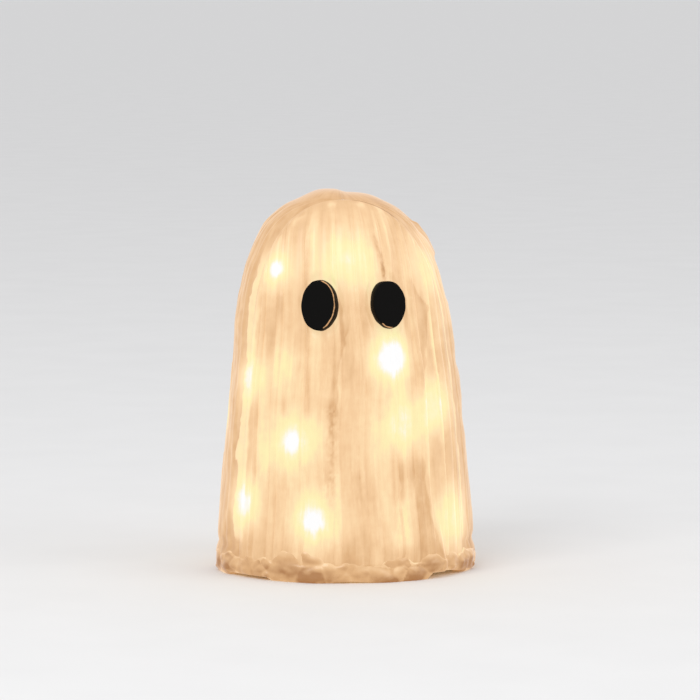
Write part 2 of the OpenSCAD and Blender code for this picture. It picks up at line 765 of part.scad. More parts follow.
// Conical contact springs, each one unbroken wire from its plate to the cell's flat end
spring_run = spring_l - spring_wire - 2 * touch_gap;
function spring_point(t) =
  let (r = spring_r - spring_taper * t, a = 360 * spring_turns * t)
  [contact_t + 2 * touch_gap + spring_wire / 2 + spring_run * t, r * cos(a), r * sin(a)];
spring_path = [for (i = [0:spring_steps * spring_turns]) spring_point(i / (spring_steps * spring_turns))];
spring_clear = min([for (i = [0:spring_steps * (spring_turns - 1)])
  for (j = [i + spring_steps - spring_near:len(spring_path) - 1])
    norm(spring_path[i] - spring_path[j])]) - spring_wire;
echo(spring_least_gap = spring_clear);

module contact_springs() {
  color("#c9ccd0") for (lane = [-1, 0, 1])
    translate([lane == 0 ? bay_right : bay_left, lane * cell_pitch, cell_z])
      rotate([0, 0, lane == 0 ? 180 : 0]) tube(spring_path, spring_wire, 6, [1, 0, 0]);
}

// Plate against an end wall of the bay, over the lanes from first to last
module contact_plate(at_left, first, last) {
  x = at_left ? bay_left + touch_gap : bay_right - touch_gap - contact_t;
  translate([x, first * cell_pitch - contact_h / 2, cell_z - contact_h / 2])
    cube([contact_t, (last - first) * cell_pitch + contact_h, contact_h]);
}

// Solder tab of a plate, up through the bay's roof
module solder_tab(at_left, lane) {
  x = at_left ? bay_left + touch_gap : bay_right - touch_gap - contact_t;
  translate([x, lane * cell_pitch - tab_w / 2, cell_z])
    cube([contact_t, tab_w, roof_top + tab_out - cell_z]);
}

module negative_plate() {
  color("#c9ccd0") {
    contact_plate(true, -1, -1);
    solder_tab(true, -1);
  }
}

module bridge_plate_left() {
  color("#c9ccd0") contact_plate(true, 0, 1);
}

module bridge_plate_right() {
  color("#c9ccd0") contact_plate(false, -1, 0);
}

module positive_plate() {
  color("#c9ccd0") {
    contact_plate(false, 1, 1);
    solder_tab(false, 1);
  }
}

module control_board() {
  color("#2f6b3c") difference() {
    translate([board_x - board_w / 2, -board_l / 2, board_z]) soft_box([board_w, board_l, board_t], 1);
    for (s = [-1, 1]) translate([board_x, s * post_y, board_z - cut])
      cylinder(d = pilot_d + 2 * screw_gap, h = board_t + 2 * cut);
  }
}

module timer_chip() {
  leg_y = (chip_size.y - leg_size.y - (leg_count - 1) * leg_pitch) / 2;
  color("#1c1c1e") translate([board_x + chip_at.x, chip_at.y, board_top]) {
    translate([0, 0, chip_lift]) cube(chip_size);
    for (i = [0:leg_count - 1]) translate([(chip_size.x - leg_size.x) / 2, leg_y + leg_pitch * i, 0])
      cube(leg_size);
  }
}

module crystal_can() {
  color("#c9ccd0") translate([board_x + can_at.x, can_at.y, board_top + can_z]) rotate([-90, 0, 0]) {
    cylinder(d = can_d, h = can_l);
    translate([0, 0, can_rim]) cylinder(d = can_d + can_rim, h = 2 * can_rim);
  }
}

// Switch under the board, hollow where the slider runs
module switch_body() {
  run_l = slider_l + slider_travel + 2 * slide_gap;
  color("#2a2a2c") translate([board_x, 0, plate_top + touch_gap]) difference() {
    translate([-switch_w / 2, -switch_l / 2, 0]) cube([switch_w, switch_l, switch_h]);
    translate([-switch_w / 2 + switch_side, -run_l / 2, switch_floor])
      cube([switch_w - 2 * switch_side, run_l, slider_t + 2 * slide_gap]);
    translate([0, 0, -cut]) knob_slot(switch_floor + lap + cut);
  }
}

// Slider at rest in its on position, at the front end of its travel
module switch_slider() {
  low = plate_top + touch_gap + switch_floor + slide_gap;
  knob_z = hem_h - knob_out;
  slider_w = switch_w - 2 * (switch_side + slide_gap);
  color("#f2f0ea") translate([board_x, -slider_travel / 2, 0]) {
    translate([-slider_w / 2, -slider_l / 2, low]) cube([slider_w, slider_l, slider_t]);
    translate([-knob_w / 2, -knob_w / 2, knob_z]) cube([knob_w, knob_w, low + lap - knob_z]);
  }
}

module board_screws() {
  color("#b9bcc0") for (s = [-1, 1]) translate([board_x, s * post_y, board_top + touch_gap])
    difference() {
      union() {
        cylinder(d1 = pan_d, d2 = 0.8 * pan_d, h = pan_h);
        translate([0, 0, -thread_l]) cylinder(d = pilot_d - 2 * touch_gap, h = thread_l + lap);
      }
      translate([0, 0, pan_h / 2]) cross_slot(pan_d, pan_h);
    }
}

// Lead from a tab to the board: out of the tab, over and straight down to its pad
module lead(from, pad, run, drop) {
  route = [from, from + [run, 0, lead_d], pad + [0, 0, drop], pad];
  tube([for (i = [0:lead_steps]) bezier(route, i / lead_steps)], lead_d, 8, [0.05, 1, 0]);
}

module positive_lead() {
  color("#b3261e")
  lead([bay_right + lead_d / 4, cell_pitch, tab_z], [board_x + pad_at.x, pad_at.y, pad_z],
    positive_run, positive_drop);
}

module negative_lead() {
  color("#1d1d1f")
  lead([bay_left + slot_room + lead_d / 4, -cell_pitch, tab_z], [board_x + pad_at.x, -pad_at.y, pad_z],
    negative_run, negative_drop);
}

front_shell();
rear_shell();
hem_bead();
left_eye();
right_eye();
led_lamps();
lamp_sleeves();
lamp_glue();
lamp_cable();
base_moulding();
base_glue();
battery_door();
door_seal();
door_screw();
battery_1();
battery_2();
battery_3();
contact_springs();
negative_plate();
bridge_plate_left();
bridge_plate_right();
positive_plate();
control_board();
timer_chip();
crystal_can();
switch_body();
switch_slider();
board_screws();
positive_lead();
negative_lead();
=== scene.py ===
"""Looks of a light-up ghost: strand acrylic shells on a lumpy hem, black eyes, and the unit in its base."""
import logging
import math
from collections.abc import Sequence
from dataclasses import dataclass, field
from enum import Enum

import bmesh
import bpy
import numpy as np
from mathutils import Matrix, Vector


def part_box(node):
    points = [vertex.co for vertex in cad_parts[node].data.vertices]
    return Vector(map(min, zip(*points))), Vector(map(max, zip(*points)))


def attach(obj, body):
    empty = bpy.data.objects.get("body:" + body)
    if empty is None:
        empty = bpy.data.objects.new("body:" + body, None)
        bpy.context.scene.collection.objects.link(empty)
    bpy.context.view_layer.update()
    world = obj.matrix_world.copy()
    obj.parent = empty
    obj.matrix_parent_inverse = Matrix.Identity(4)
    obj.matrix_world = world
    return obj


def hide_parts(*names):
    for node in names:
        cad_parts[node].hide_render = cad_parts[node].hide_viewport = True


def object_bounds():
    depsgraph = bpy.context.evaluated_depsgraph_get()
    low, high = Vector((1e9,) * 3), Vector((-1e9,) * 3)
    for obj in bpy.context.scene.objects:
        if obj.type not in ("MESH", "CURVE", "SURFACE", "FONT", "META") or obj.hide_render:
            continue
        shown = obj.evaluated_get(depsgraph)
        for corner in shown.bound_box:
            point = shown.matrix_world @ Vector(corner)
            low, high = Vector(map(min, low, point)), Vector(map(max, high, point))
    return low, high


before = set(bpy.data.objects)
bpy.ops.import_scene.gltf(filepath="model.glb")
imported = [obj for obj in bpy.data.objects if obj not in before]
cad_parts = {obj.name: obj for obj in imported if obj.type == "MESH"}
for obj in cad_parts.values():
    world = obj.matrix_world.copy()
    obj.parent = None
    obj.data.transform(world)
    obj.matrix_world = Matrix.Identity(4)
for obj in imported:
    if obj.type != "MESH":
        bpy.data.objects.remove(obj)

CAD_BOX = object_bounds()
LOG = logging.getLogger("ghost")
MM = 0.001
FULL_TURN = 2 * math.pi
TINY = 1e-6
BODY = "ghost"
Colour = tuple[float, float, float, float]
Socket = bpy.types.NodeSocket


# Helpers for colours, nodes, noise and meshes

def linear(hex_colour: str) -> Colour:
    """Turns an sRGB hex colour to linear light.

    Args:
        hex_colour: Colour as six hex digits with a leading #.

    Returns:
        Linear red, green, blue and an alpha of 1.
    """
    parts = [int(hex_colour[i:i + 2], 16) / 255 for i in (1, 3, 5)]
    light = [c / 12.92 if c <= 0.04045 else ((c + 0.055) / 1.055) ** 2.4 for c in parts]
    return light[0], light[1], light[2], 1.0


def feed(tree: bpy.types.NodeTree, node: bpy.types.Node, inputs: dict) -> None:
    """Sets or links the inputs of a node.

    Args:
        tree: Node tree of the material or world.
        node: The node.
        inputs: Input name or number to a value, or to the output socket to link.
    """
    for key, value in inputs.items():
        if isinstance(value, Socket):
            tree.links.new(value, node.inputs[key])
        else:
            node.inputs[key].default_value = value


def add_node(tree: bpy.types.NodeTree, kind: str, inputs: dict | None = None,
             stops: Sequence[tuple[float, Colour]] = (), **settings: object) -> bpy.types.Node:
    """Adds a node with its settings and links.

    Args:
        tree: Node tree of the material or world.
        kind: Blender's name for the node's type.
        inputs: Input name or number to a value, or to the output socket to link.
        stops: Places and linear colours of a colour ramp, which starts with two stops.
        settings: Properties of the node.

    Returns:
        The new node.
    """
    node = tree.nodes.new(kind)
    for name, value in settings.items():
        setattr(node, name, value)
    feed(tree, node, inputs or {})
    for i, (place, colour) in enumerate(stops):
        stop = node.color_ramp.elements[i] if i < 2 else node.color_ramp.elements.new(place)
        stop.position = place
        stop.color = colour
    return node


def per_mm(size: float) -> float:
    """Texture scale at which one cell of a pattern is size millimetres wide."""
    return 1000.0 / size


def ease(x: np.ndarray) -> np.ndarray:
    """Smooth step from 0 to 1."""
    t = np.clip(x, 0.0, 1.0)
    return t * t * (3.0 - 2.0 * t)


def hump(x: np.ndarray) -> np.ndarray:
    """Bell that is 1 at 0 and fades out past 1."""
    return np.exp(-x ** 2)


class Ripple:
    """Seeded smooth noise on a square lattice."""

    SIZE = 128

    def __init__(self, seed: int) -> None:
        """Fills the lattice.

        Args:
            seed: Seed of the lattice's values.
        """
        self.lattice = np.random.default_rng(seed).uniform(-1.0, 1.0, (self.SIZE, self.SIZE))

    def at(self, u: np.ndarray, v: np.ndarray, period: int = SIZE) -> np.ndarray:
        """Samples the noise.

        Args:
            u: Places along the first side, in cells.
            v: Places along the second side, in cells.
            period: Cells after which the noise repeats along u.

        Returns:
            Values from -1 to 1.
        """
        u, v = np.broadcast_arrays(u, v)
        i, j = np.floor(u).astype(int), np.floor(v).astype(int)
        s, t = ease(u - i), ease(v - j)
        i0, i1 = i % period % self.SIZE, (i + 1) % period % self.SIZE
        j0, j1 = j % self.SIZE, (j + 1) % self.SIZE
        low = self.lattice[i0, j0] * (1 - s) + self.lattice[i1, j0] * s
        high = self.lattice[i0, j1] * (1 - s) + self.lattice[i1, j1] * s
        return low * (1 - t) + high * t


@dataclass(frozen=True)
class Grain:
    """One layer of noise: the size of its cells in millimetres, and the cell at which it starts."""

    across: float
    along: float
    first_across: float = 0.0
    first_along: float = 0.0

    def of(self, noise: Ripple, u: np.ndarray, v: np.ndarray) -> np.ndarray:
        """Samples the layer at places in metres."""
        return noise.at(u / (self.across * MM) + self.first_across, v / (self.along * MM) + self.first_along)


class MeshPile:
    """Collects points, faces and point values, and turns them into one object."""

    JOIN = 0.002 * MM

    def __init__(self) -> None:
        """Starts empty."""
        self.points: list[np.ndarray] = []
        self.faces: list[tuple[int, ...]] = []
        self.values: dict[str, list[np.ndarray]] = {}
        self.count = 0

    def add(self, points: np.ndarray, **values: np.ndarray) -> np.ndarray:
        """Adds points with their values.

        Args:
            points: Array of points, in metres.
            values: One number for each point, by attribute name.

        Returns:
            The points' numbers, in the shape of the array.
        """
        shape = points.shape[:-1]
        number = int(np.prod(shape))
        self.points.append(points.reshape(-1, 3))
        for name, value in values.items():
            self.values.setdefault(name, []).append(np.broadcast_to(value, shape).reshape(-1))
        first, self.count = self.count, self.count + number
        return np.arange(first, first + number).reshape(shape)

    def skin(self, grid: np.ndarray, flip: bool = False) -> None:
        """Covers a grid of point numbers with quads.

        Args:
            grid: Point numbers in rows and columns.
            flip: Turns the faces over.
        """
        a, b, c, d = grid[:-1, :-1], grid[:-1, 1:], grid[1:, 1:], grid[1:, :-1]
        order = (a, d, c, b) if flip else (a, b, c, d)
        self.faces.extend(map(tuple, np.stack(order, -1).reshape(-1, 4).tolist()))

    def stitch(self, fine: np.ndarray, coarse: np.ndarray, flip: bool = False) -> None:
        """Joins a row of points to a coarser row beside it with triangles.

        Args:
            fine: Point numbers of the fine row.
            coarse: Point numbers of the coarse row, which divides the fine one evenly.
            flip: Turns the faces over.
        """
        step = (len(fine) - 1) // (len(coarse) - 1)
        for k in range(len(coarse) - 1):
            fans = [(coarse[k], fine[j], fine[j + 1]) for j in range(k * step, (k + 1) * step)]
            fans.append((coarse[k], fine[(k + 1) * step], coarse[k + 1]))
            self.faces.extend(tuple(map(int, f[::-1] if flip else f)) for f in fans)

    def make(self, name: str, material: bpy.types.Material) -> bpy.types.Object:
        """Makes the object, joined where its points meet and held inside the solids' box.

        Args:
            name: Name of the piece.
            material: Its finish.

        Returns:
            The object, in the scene.
        """
        mesh = bpy.data.meshes.new(name)
        low, high = (np.array(corner) for corner in CAD_BOX)
        mesh.from_pydata(np.clip(np.concatenate(self.points), low, high).tolist(), [], self.faces)
        for key, lists in self.values.items():
            layer = mesh.attributes.new(key, "FLOAT", "POINT")
            layer.data.foreach_set("value", np.concatenate(lists).astype(np.float32))
        work = bmesh.new()
        work.from_mesh(mesh)
        bmesh.ops.remove_doubles(work, verts=work.verts, dist=self.JOIN)
        bmesh.ops.recalc_face_normals(work, faces=work.faces)
        work.to_mesh(mesh)
        work.free()
        mesh.polygons.foreach_set("use_smooth", [True] * len(mesh.polygons))
        mesh.materials.append(material)
        piece = bpy.data.objects.new(name, mesh)
        bpy.context.scene.collection.objects.link(piece)
        return piece


# Finishes

def principled(name: str) -> tuple[bpy.types.Material, bpy.types.NodeTree, bpy.types.Node]:
    """Starts a material.

    Args:
        name: Name for the real material and how its surface was made.

    Returns:
        The material, its node tree and its shader.
    """
    material = bpy.data.materials.new(name)
    material.use_nodes = True
    tree = material.node_tree
    return material, tree, tree.nodes["Principled BSDF"]


def dress_surface(tree: bpy.types.NodeTree, shader: bpy.types.Node, tone: tuple[Socket, str, str],
                  rough: tuple[Socket, float, float], bump: tuple[Socket, float, float]) -> None:
    """Gives a shader its colour, roughness and relief.

    Args:
        tree: Node tree of the material.
        shader: Its shader.
        tone: A pattern, and the colours where it is 0 and 1.
        rough: A pattern, and the roughness where it is 0 and 1.
        bump: A pattern, its strength and its depth in millimetres.
    """
    colour = add_node(tree, "ShaderNodeMix", {
        0: tone[0], 6: linear(tone[1]), 7: linear(tone[2])}, data_type="RGBA")
    sheen = add_node(tree, "ShaderNodeMapRange", {"Value": rough[0], "To Min": rough[1], "To Max": rough[2]})
    relief = add_node(tree, "ShaderNodeBump", {
        "Height": bump[0], "Strength": bump[1], "Distance": bump[2] * MM})
    feed(tree, shader, {"Base Color": colour.outputs[2], "Roughness": sheen.outputs["Result"],
                        "Normal": relief.outputs["Normal"]})


@dataclass(frozen=True)
class LitAcrylic:
    """Acrylic drawn in strands over a form and lit from behind.

    It gives the eye a warm cloudy body with upright streaks, yellow where a lamp is near and white
    over the lamp itself. The attribute glow says how much light comes through, from 0 in the thick hem
    to 1 at a lamp, and shown gives the colours that this makes. What the surface returns of the
    studio's light, returned, is taken off them. The attribute fibre says how clearly the streaks show.
    Real drawn fibres are a few tenths of a millimetre wide: the streaks are coarser, so that they show.
    """

    name: str = "acrylic_drawn_strands_lit"
    # Painted shade: body and cloudy are much darker than the pale acrylic, so that the lamps' glow shows over
    # what the studio's light returns
    body: str = "#7a6650"
    cloudy: str = "#6a5743"
    returned: tuple[float, float, float] = (0.22, 0.165, 0.115)
    shown: tuple[tuple[float, str], ...] = (
        (0.0, "#b98b63"), (0.1, "#d3a77b"), (0.22, "#e4b889"), (0.32, "#edc496"), (0.42, "#f7cfa1"),
        (0.53, "#fedbad"), (0.62, "#ffe4b5"), (0.71, "#ffeeb7"), (0.79, "#fff3b9"), (0.87, "#fff6c8"),
        (0.94, "#fffbec"), (1.0, "#ffffff"))
    streak_mm: float = 2.0
    streak_run_mm: float = 15.0
    streak_detail: float = 4.0
    streak_crisp: float = 0.64
    cloud_mm: float = 4.5
    cloud_detail: float = 4.0
    streak_share: float = 0.25
    cloud_share: float = 0.17
    roughness: float = 0.34
    smoother: float = 0.08
    rougher: float = 0.12
    bump_mm: float = 0.06
    bump_share: float = 0.4
    frost: float = 0.4
    frost_roughness: float = 0.3
    ior: float = 1.49

    def through(self, shown: str) -> Colour:
        """Light that has to come through for a colour to show.

        Args:
            shown: Colour as it shows, as hex.

        Returns:
            Linear colour of the light.
        """
        red, green, blue = (max(0.0, c - r) for c, r in zip(linear(shown), self.returned))
        return red, green, blue, 1.0

    def build(self) -> bpy.types.Material:
        """Makes the material.

        Returns:
            The material, which reads the attributes glow, fibre, round and up.
        """
        material, tree, shader = principled(self.name)
        glow, fibre, around, up = (add_node(tree, "ShaderNodeAttribute", attribute_name=name).outputs["Fac"]
                                   for name in ("glow", "fibre", "round", "up"))
        place = add_node(tree, "ShaderNodeCombineXYZ", {"X": around, "Y": up})
        squeeze = add_node(tree, "ShaderNodeVectorMath", {
            0: place.outputs["Vector"], 1: (per_mm(self.streak_mm), per_mm(self.streak_run_mm), 1.0)},
            operation="MULTIPLY")
        streak = add_node(tree, "ShaderNodeTexNoise", {
            "Vector": squeeze.outputs["Vector"], "Scale": 1.0, "Detail": self.streak_detail,
            "Roughness": self.streak_crisp}).outputs["Fac"]
        solid = add_node(tree, "ShaderNodeTexCoord")
        cloud = add_node(tree, "ShaderNodeTexNoise", {
            "Vector": solid.outputs["Object"], "Scale": per_mm(self.cloud_mm),
            "Detail": self.cloud_detail}).outputs["Fac"]
        share = add_node(tree, "ShaderNodeMath", {0: fibre, 1: self.streak_share}, operation="MULTIPLY")
        centred = add_node(tree, "ShaderNodeMath", {0: streak, 1: 0.5}, operation="SUBTRACT")
        streaked = add_node(tree, "ShaderNodeMath", {
            0: centred.outputs["Value"], 1: share.outputs["Value"], 2: glow}, operation="MULTIPLY_ADD")
        clouded = add_node(tree, "ShaderNodeMath", {
            0: cloud, 1: self.cloud_share, 2: streaked.outputs["Value"]}, operation="MULTIPLY_ADD")
        level = add_node(tree, "ShaderNodeMath", {
            0: clouded.outputs["Value"], 1: self.cloud_share / 2}, operation="SUBTRACT")
        lit = add_node(tree, "ShaderNodeValToRGB", {"Fac": level.outputs["Value"]},
                       [(at, self.through(colour)) for at, colour in self.shown])
        dress_surface(tree, shader, (streak, self.cloudy, self.body),
                      (cloud, self.roughness - self.smoother, self.roughness + self.rougher),
                      (streak, self.bump_share, self.bump_mm))
        feed(tree, shader, {"Emission Color": lit.outputs["Color"], "Emission Strength": 1.0, "IOR": self.ior,
                            "Sheen Weight": self.frost, "Sheen Roughness": self.frost_roughness})
        return material


@dataclass(frozen=True)
class Moulded:
    """A moulded, extruded or cast solid: one tone, cloudy variation and a fine skin.

    It gives the eye a plain part whose sheen breaks up at the size of its grain. Real grain of
    plating, film and mould is finer than grain_mm, which is as coarse as it needs to be to show.
    """

    name: str
    colour: str
    deep: str
    grain_mm: float = 0.6
    mottle_mm: float = 14.0
    roughness: float = 0.45
    bump_mm: float = 0.02
    metallic: float = 0.0
    stretch: tuple[float, float, float] = (1.0, 1.0, 1.0)
    glow: str | None = None
    glow_strength: float = 2.0
    ior: float = 1.5
    vary: float = 0.1
    bump_share: float = 0.5
    grain_detail: float = 3.0
    mottle_detail: float = 2.0

    def build(self) -> bpy.types.Material:
        """Makes the material.

        Returns:
            The material, in the object's own coordinates.
        """
        material, tree, shader = principled(self.name)
        solid = add_node(tree, "ShaderNodeTexCoord").outputs["Object"]
        drawn = add_node(tree, "ShaderNodeVectorMath", {0: solid, 1: self.stretch}, operation="MULTIPLY")
        grain = add_node(tree, "ShaderNodeTexNoise", {
            "Vector": drawn.outputs["Vector"], "Scale": per_mm(self.grain_mm),
            "Detail": self.grain_detail}).outputs["Fac"]
        mottle = add_node(tree, "ShaderNodeTexNoise", {
            "Vector": solid, "Scale": per_mm(self.mottle_mm), "Detail": self.mottle_detail}).outputs["Fac"]
        dress_surface(tree, shader, (mottle, self.deep, self.colour),
                      (grain, self.roughness - self.vary, self.roughness + self.vary),
                      (grain, self.bump_share, self.bump_mm))
        feed(tree, shader, {"Metallic": self.metallic})
        if not self.metallic:
            feed(tree, shader, {"IOR": self.ior})
        if self.glow:
            feed(tree, shader, {"Emission Color": linear(self.glow), "Emission Strength": self.glow_strength})
        return material


@dataclass(frozen=True)
class CutEye:
    """Black plastic cut by hand, with the black rubbed off along part of its rim and that edge painted pale,
    as a highlight of the shell's glow.

    It gives the eye a deep, nearly matt black and a broken tan line on the edge, partly the bare plastic
    and partly painted light. The attribute lit_wear says where the rim is rubbed off and painted lit, and
    chips break it up between lit_bare_from and lit_bare_to. The cut's own marks are finer than grain_mm
    and are drawn coarser, so that they show.
    """

    name: str = "black_plastic_cut_by_hand"
    black: str = "#050403"
    # Tan of the rubbed-off rim, painted pale as a highlight of the shell's glow on the bare plastic
    lit_bare: str = "#d9a877"
    grain_mm: float = 0.5
    chip_mm: float = 1.6
    grain_detail: float = 2.0
    chip_detail: float = 3.0
    chip_share: float = 0.5
    lit_bare_from: float = 0.72
    lit_bare_to: float = 0.95
    roughness: float = 0.62
    vary: float = 0.1
    bump_mm: float = 0.02
    bump_share: float = 0.3
    ior: float = 1.5
    specular: float = 0.08

    def build(self) -> bpy.types.Material:
        """Makes the material.

        Returns:
            The material, which reads the attribute that marks the rim rubbed off and painted lit.
        """
        material, tree, shader = principled(self.name)
        # The rim where the black is rubbed off is painted pale, as a highlight of the shell's glow
        lit_wear = add_node(tree, "ShaderNodeAttribute", attribute_name="lit_wear")
        solid = add_node(tree, "ShaderNodeTexCoord").outputs["Object"]
        grain, chips = (add_node(tree, "ShaderNodeTexNoise", {
            "Vector": solid, "Scale": per_mm(size), "Detail": detail}).outputs["Fac"]
            for size, detail in ((self.grain_mm, self.grain_detail), (self.chip_mm, self.chip_detail)))
        broken = add_node(tree, "ShaderNodeMath", {
            0: chips, 1: self.chip_share, 2: lit_wear.outputs["Fac"]}, operation="MULTIPLY_ADD")
        lit_bare = add_node(tree, "ShaderNodeMapRange", {
            "Value": broken.outputs["Value"], "From Min": self.lit_bare_from, "From Max": self.lit_bare_to})
        dress_surface(tree, shader, (lit_bare.outputs["Result"], self.black, self.lit_bare),
                      (grain, self.roughness - self.vary, self.roughness + self.vary),
                      (grain, self.bump_share, self.bump_mm))
        feed(tree, shader, {"IOR": self.ior, "Specular IOR Level": self.specular})
        return material


@dataclass(frozen=True)
class PaperSweep:
    """Matt paper of the floor, in broad faint clouds, which gives the eye an even pale ground."""

    name: str = "paper_sweep_matt"
    colour: str = "#e9e9e9"
    deep: str = "#e4e4e4"
    cloud_mm: float = 60.0
    roughness: float = 0.9
    specular: float = 0.1

    def build(self) -> bpy.types.Material:
        """Makes the material.

        Returns:
            The material, in the object's own coordinates.
        """
        material, tree, shader = principled(self.name)
        solid = add_node(tree, "ShaderNodeTexCoord")
        cloud = add_node(tree, "ShaderNodeTexNoise", {
            "Vector": solid.outputs["Object"], "Scale": per_mm(self.cloud_mm)})
        tone = add_node(tree, "ShaderNodeMix", {
            0: cloud.outputs["Fac"], 6: linear(self.deep), 7: linear(self.colour)}, data_type="RGBA")
        feed(tree, shader, {"Base Color": tone.outputs[2], "Roughness": self.roughness,
                            "Specular IOR Level": self.specular})
        return material


# The body's surface, its lamps and its strands

@dataclass(frozen=True)
class BodyForm:
    """Plain surface of the body. Angles are in radians from the face, towards +X."""

    height: float
    foot: float
    width: float = 138 * MM
    depth: float = 110 * MM
    crown: float = 75 * MM
    crown_power: float = 2.65
    flank_draw: float = 20.5 * MM
    flank_power: float = 1.15
    lean: float = -4 * MM
    lean_power: int = 3
    wall: float = 3.2 * MM
    seam_foot: float = 26 * MM
    seam_crown: float = 19 * MM
    fold_count: int = 4
    fold_depth: float = 2.4 * MM
    fold_rise: float = 75 * MM
    fold_shift: float = math.radians(10)
    pleat_out: float = 2.4 * MM
    pleat_at: float = math.radians(44)
    pleat_rise: float = 42 * MM
    pleat_w: float = math.radians(14)
    pleat_fall: float = math.radians(3)
    pleat_slant: float = math.radians(0.25) / MM
    fine_steps: int = 4001
    closed: float = 1e-4

    @classmethod
    def from_frame(cls) -> "BodyForm":
        """Takes the height and the shell's foot from the frame."""
        return cls(height=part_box("rear_shell")[1].z, foot=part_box("front_shell")[0].z)

    def dome(self, z: np.ndarray, inset: float = 0.0) -> np.ndarray:
        """Share of the full plan that is left at a height."""
        u = np.clip((z - self.height + self.crown) / (self.crown - inset), 0.0, 1.0)
        return np.power(1.0 - np.power(u, self.crown_power), 1.0 / self.crown_power)

    def flank(self, z: np.ndarray, inset: float = 0.0) -> tuple[np.ndarray, np.ndarray]:
        """Half width and half depth at a height, as if the crown were not rounded."""
        draw = self.flank_draw * np.power(np.maximum(z, 0.0) / self.height, self.flank_power)
        return self.width / 2 - inset - draw, self.depth / 2 - inset - draw * self.depth / self.width

    def leaning(self, z: np.ndarray) -> np.ndarray:
        """How far the body leans to +X at a height."""
        return self.lean * (z / self.height) ** self.lean_power

    def seam(self, z: np.ndarray) -> np.ndarray:
        """How far in front of the middle the weld lies at a height."""
        return self.seam_foot + (self.seam_crown - self.seam_foot) * z / self.height

    def fold_wave(self, a: np.ndarray) -> np.ndarray:
        """1 on the folds round the foot and -1 in the hollows between them."""
        return np.cos(self.fold_count * (a - self.fold_shift * np.sin(2 * a)))

    def pleat(self, a: np.ndarray, z: np.ndarray) -> np.ndarray:
        """How far the pleat at the front right laps out.

        Args:
            a: Angles from the face.
            z: Heights.

        Returns:
            Distances from the plain surface.
        """
        past = a - self.pleat_at + self.pleat_slant * (z - self.foot)
        rise = np.clip(1 - (z - self.foot) / self.pleat_rise, 0, 1)
        climb = np.clip(1 + past / self.pleat_w, 0, 1)
        return self.pleat_out * rise * climb * np.clip(1 - past / self.pleat_fall, 0, 1)

    def skin(self, a: np.ndarray, z: np.ndarray, inset: float = 0.0) -> np.ndarray:
        """Points on the surface.

        Args:
            a: Angles from the face.
            z: Heights.
            inset: Depth under the outer face.

        Returns:
            Points, in metres.
        """
        a, z = np.broadcast_arrays(np.asarray(a, float), np.asarray(z, float))
        crown_foot = self.height - self.crown
        reach = np.clip(1.0 - (z - self.foot) / self.fold_rise, 0.0, 1.0) ** 2
        fold = -self.fold_depth * (1.0 - self.fold_wave(a)) / 2 * reach + self.pleat(a, z)
        level = np.where(z <= crown_foot, z, crown_foot + (z - crown_foot) * (1.0 - inset / self.crown))
        half_w, half_d = self.flank(level, inset)
        dome = self.dome(level, inset)
        x = (half_w * dome + fold) * np.sin(a) + self.leaning(level)
        return np.stack([x, -(half_d * dome + fold) * np.cos(a), level], -1)

    def normal(self, a: np.ndarray, z: np.ndarray) -> np.ndarray:
        """Outward unit normals of the outer face.

        Args:
            a: Angles from the face.
            z: Heights.

        Returns:
            Unit vectors.
        """
        turn, rise = 0.01, 0.3 * MM
        top = self.height - rise
        across = self.skin(a + turn, np.minimum(z, top)) - self.skin(a - turn, np.minimum(z, top))
        along = self.skin(a, np.minimum(z + rise, self.height)) - self.skin(a, np.minimum(z, top) - rise)
        way = np.cross(across, along)
        return way / np.linalg.norm(way, axis=-1, keepdims=True)

    def seam_angle(self, z: np.ndarray) -> np.ndarray:
        """Angle from the face at which the shells are welded, 0 above the weld's top."""
        half_d = self.flank(z)[1] * self.dome(z)
        return np.arccos(np.clip(self.seam(z) / np.maximum(half_d, TINY), 0.0, 1.0))

    def seam_top(self) -> float:
        """Height at which the weld crosses the crown."""
        z = np.linspace(self.height - self.crown, self.height, self.fine_steps)
        return float(z[np.argmax(self.seam_angle(z) <= self.closed)])

    def rows(self, top: float, pitch: float, step: int) -> np.ndarray:
        """Heights from the foot to top, evenly spaced along the side of the body.

        Args:
            top: Last height.
            pitch: Distance between the rows.
            step: What the number of spaces is a multiple of.

        Returns:
            The heights, from the foot up.
        """
        z = np.linspace(self.foot, top, self.fine_steps)
        side = np.stack([self.flank(z)[0] * self.dome(z), z], -1)
        run = np.concatenate([[0.0], np.cumsum(np.linalg.norm(np.diff(side, axis=0), axis=1))])
        count = step * max(1, round(run[-1] / pitch / step))
        return np.interp(np.linspace(0.0, run[-1], count + 1), run, z)


@dataclass(frozen=True)
class LampLook:
    """How one lamp shows through the shell.

    The lamp is the one nearest to an angle in degrees and a height in metres. core and halo are the
    strength of its white spot and of its yellow ring, size and spread widen them.
    """

    angle: float
    height: float
    core: float
    halo: float
    spread: float = 1.0
    size: float = 1.0


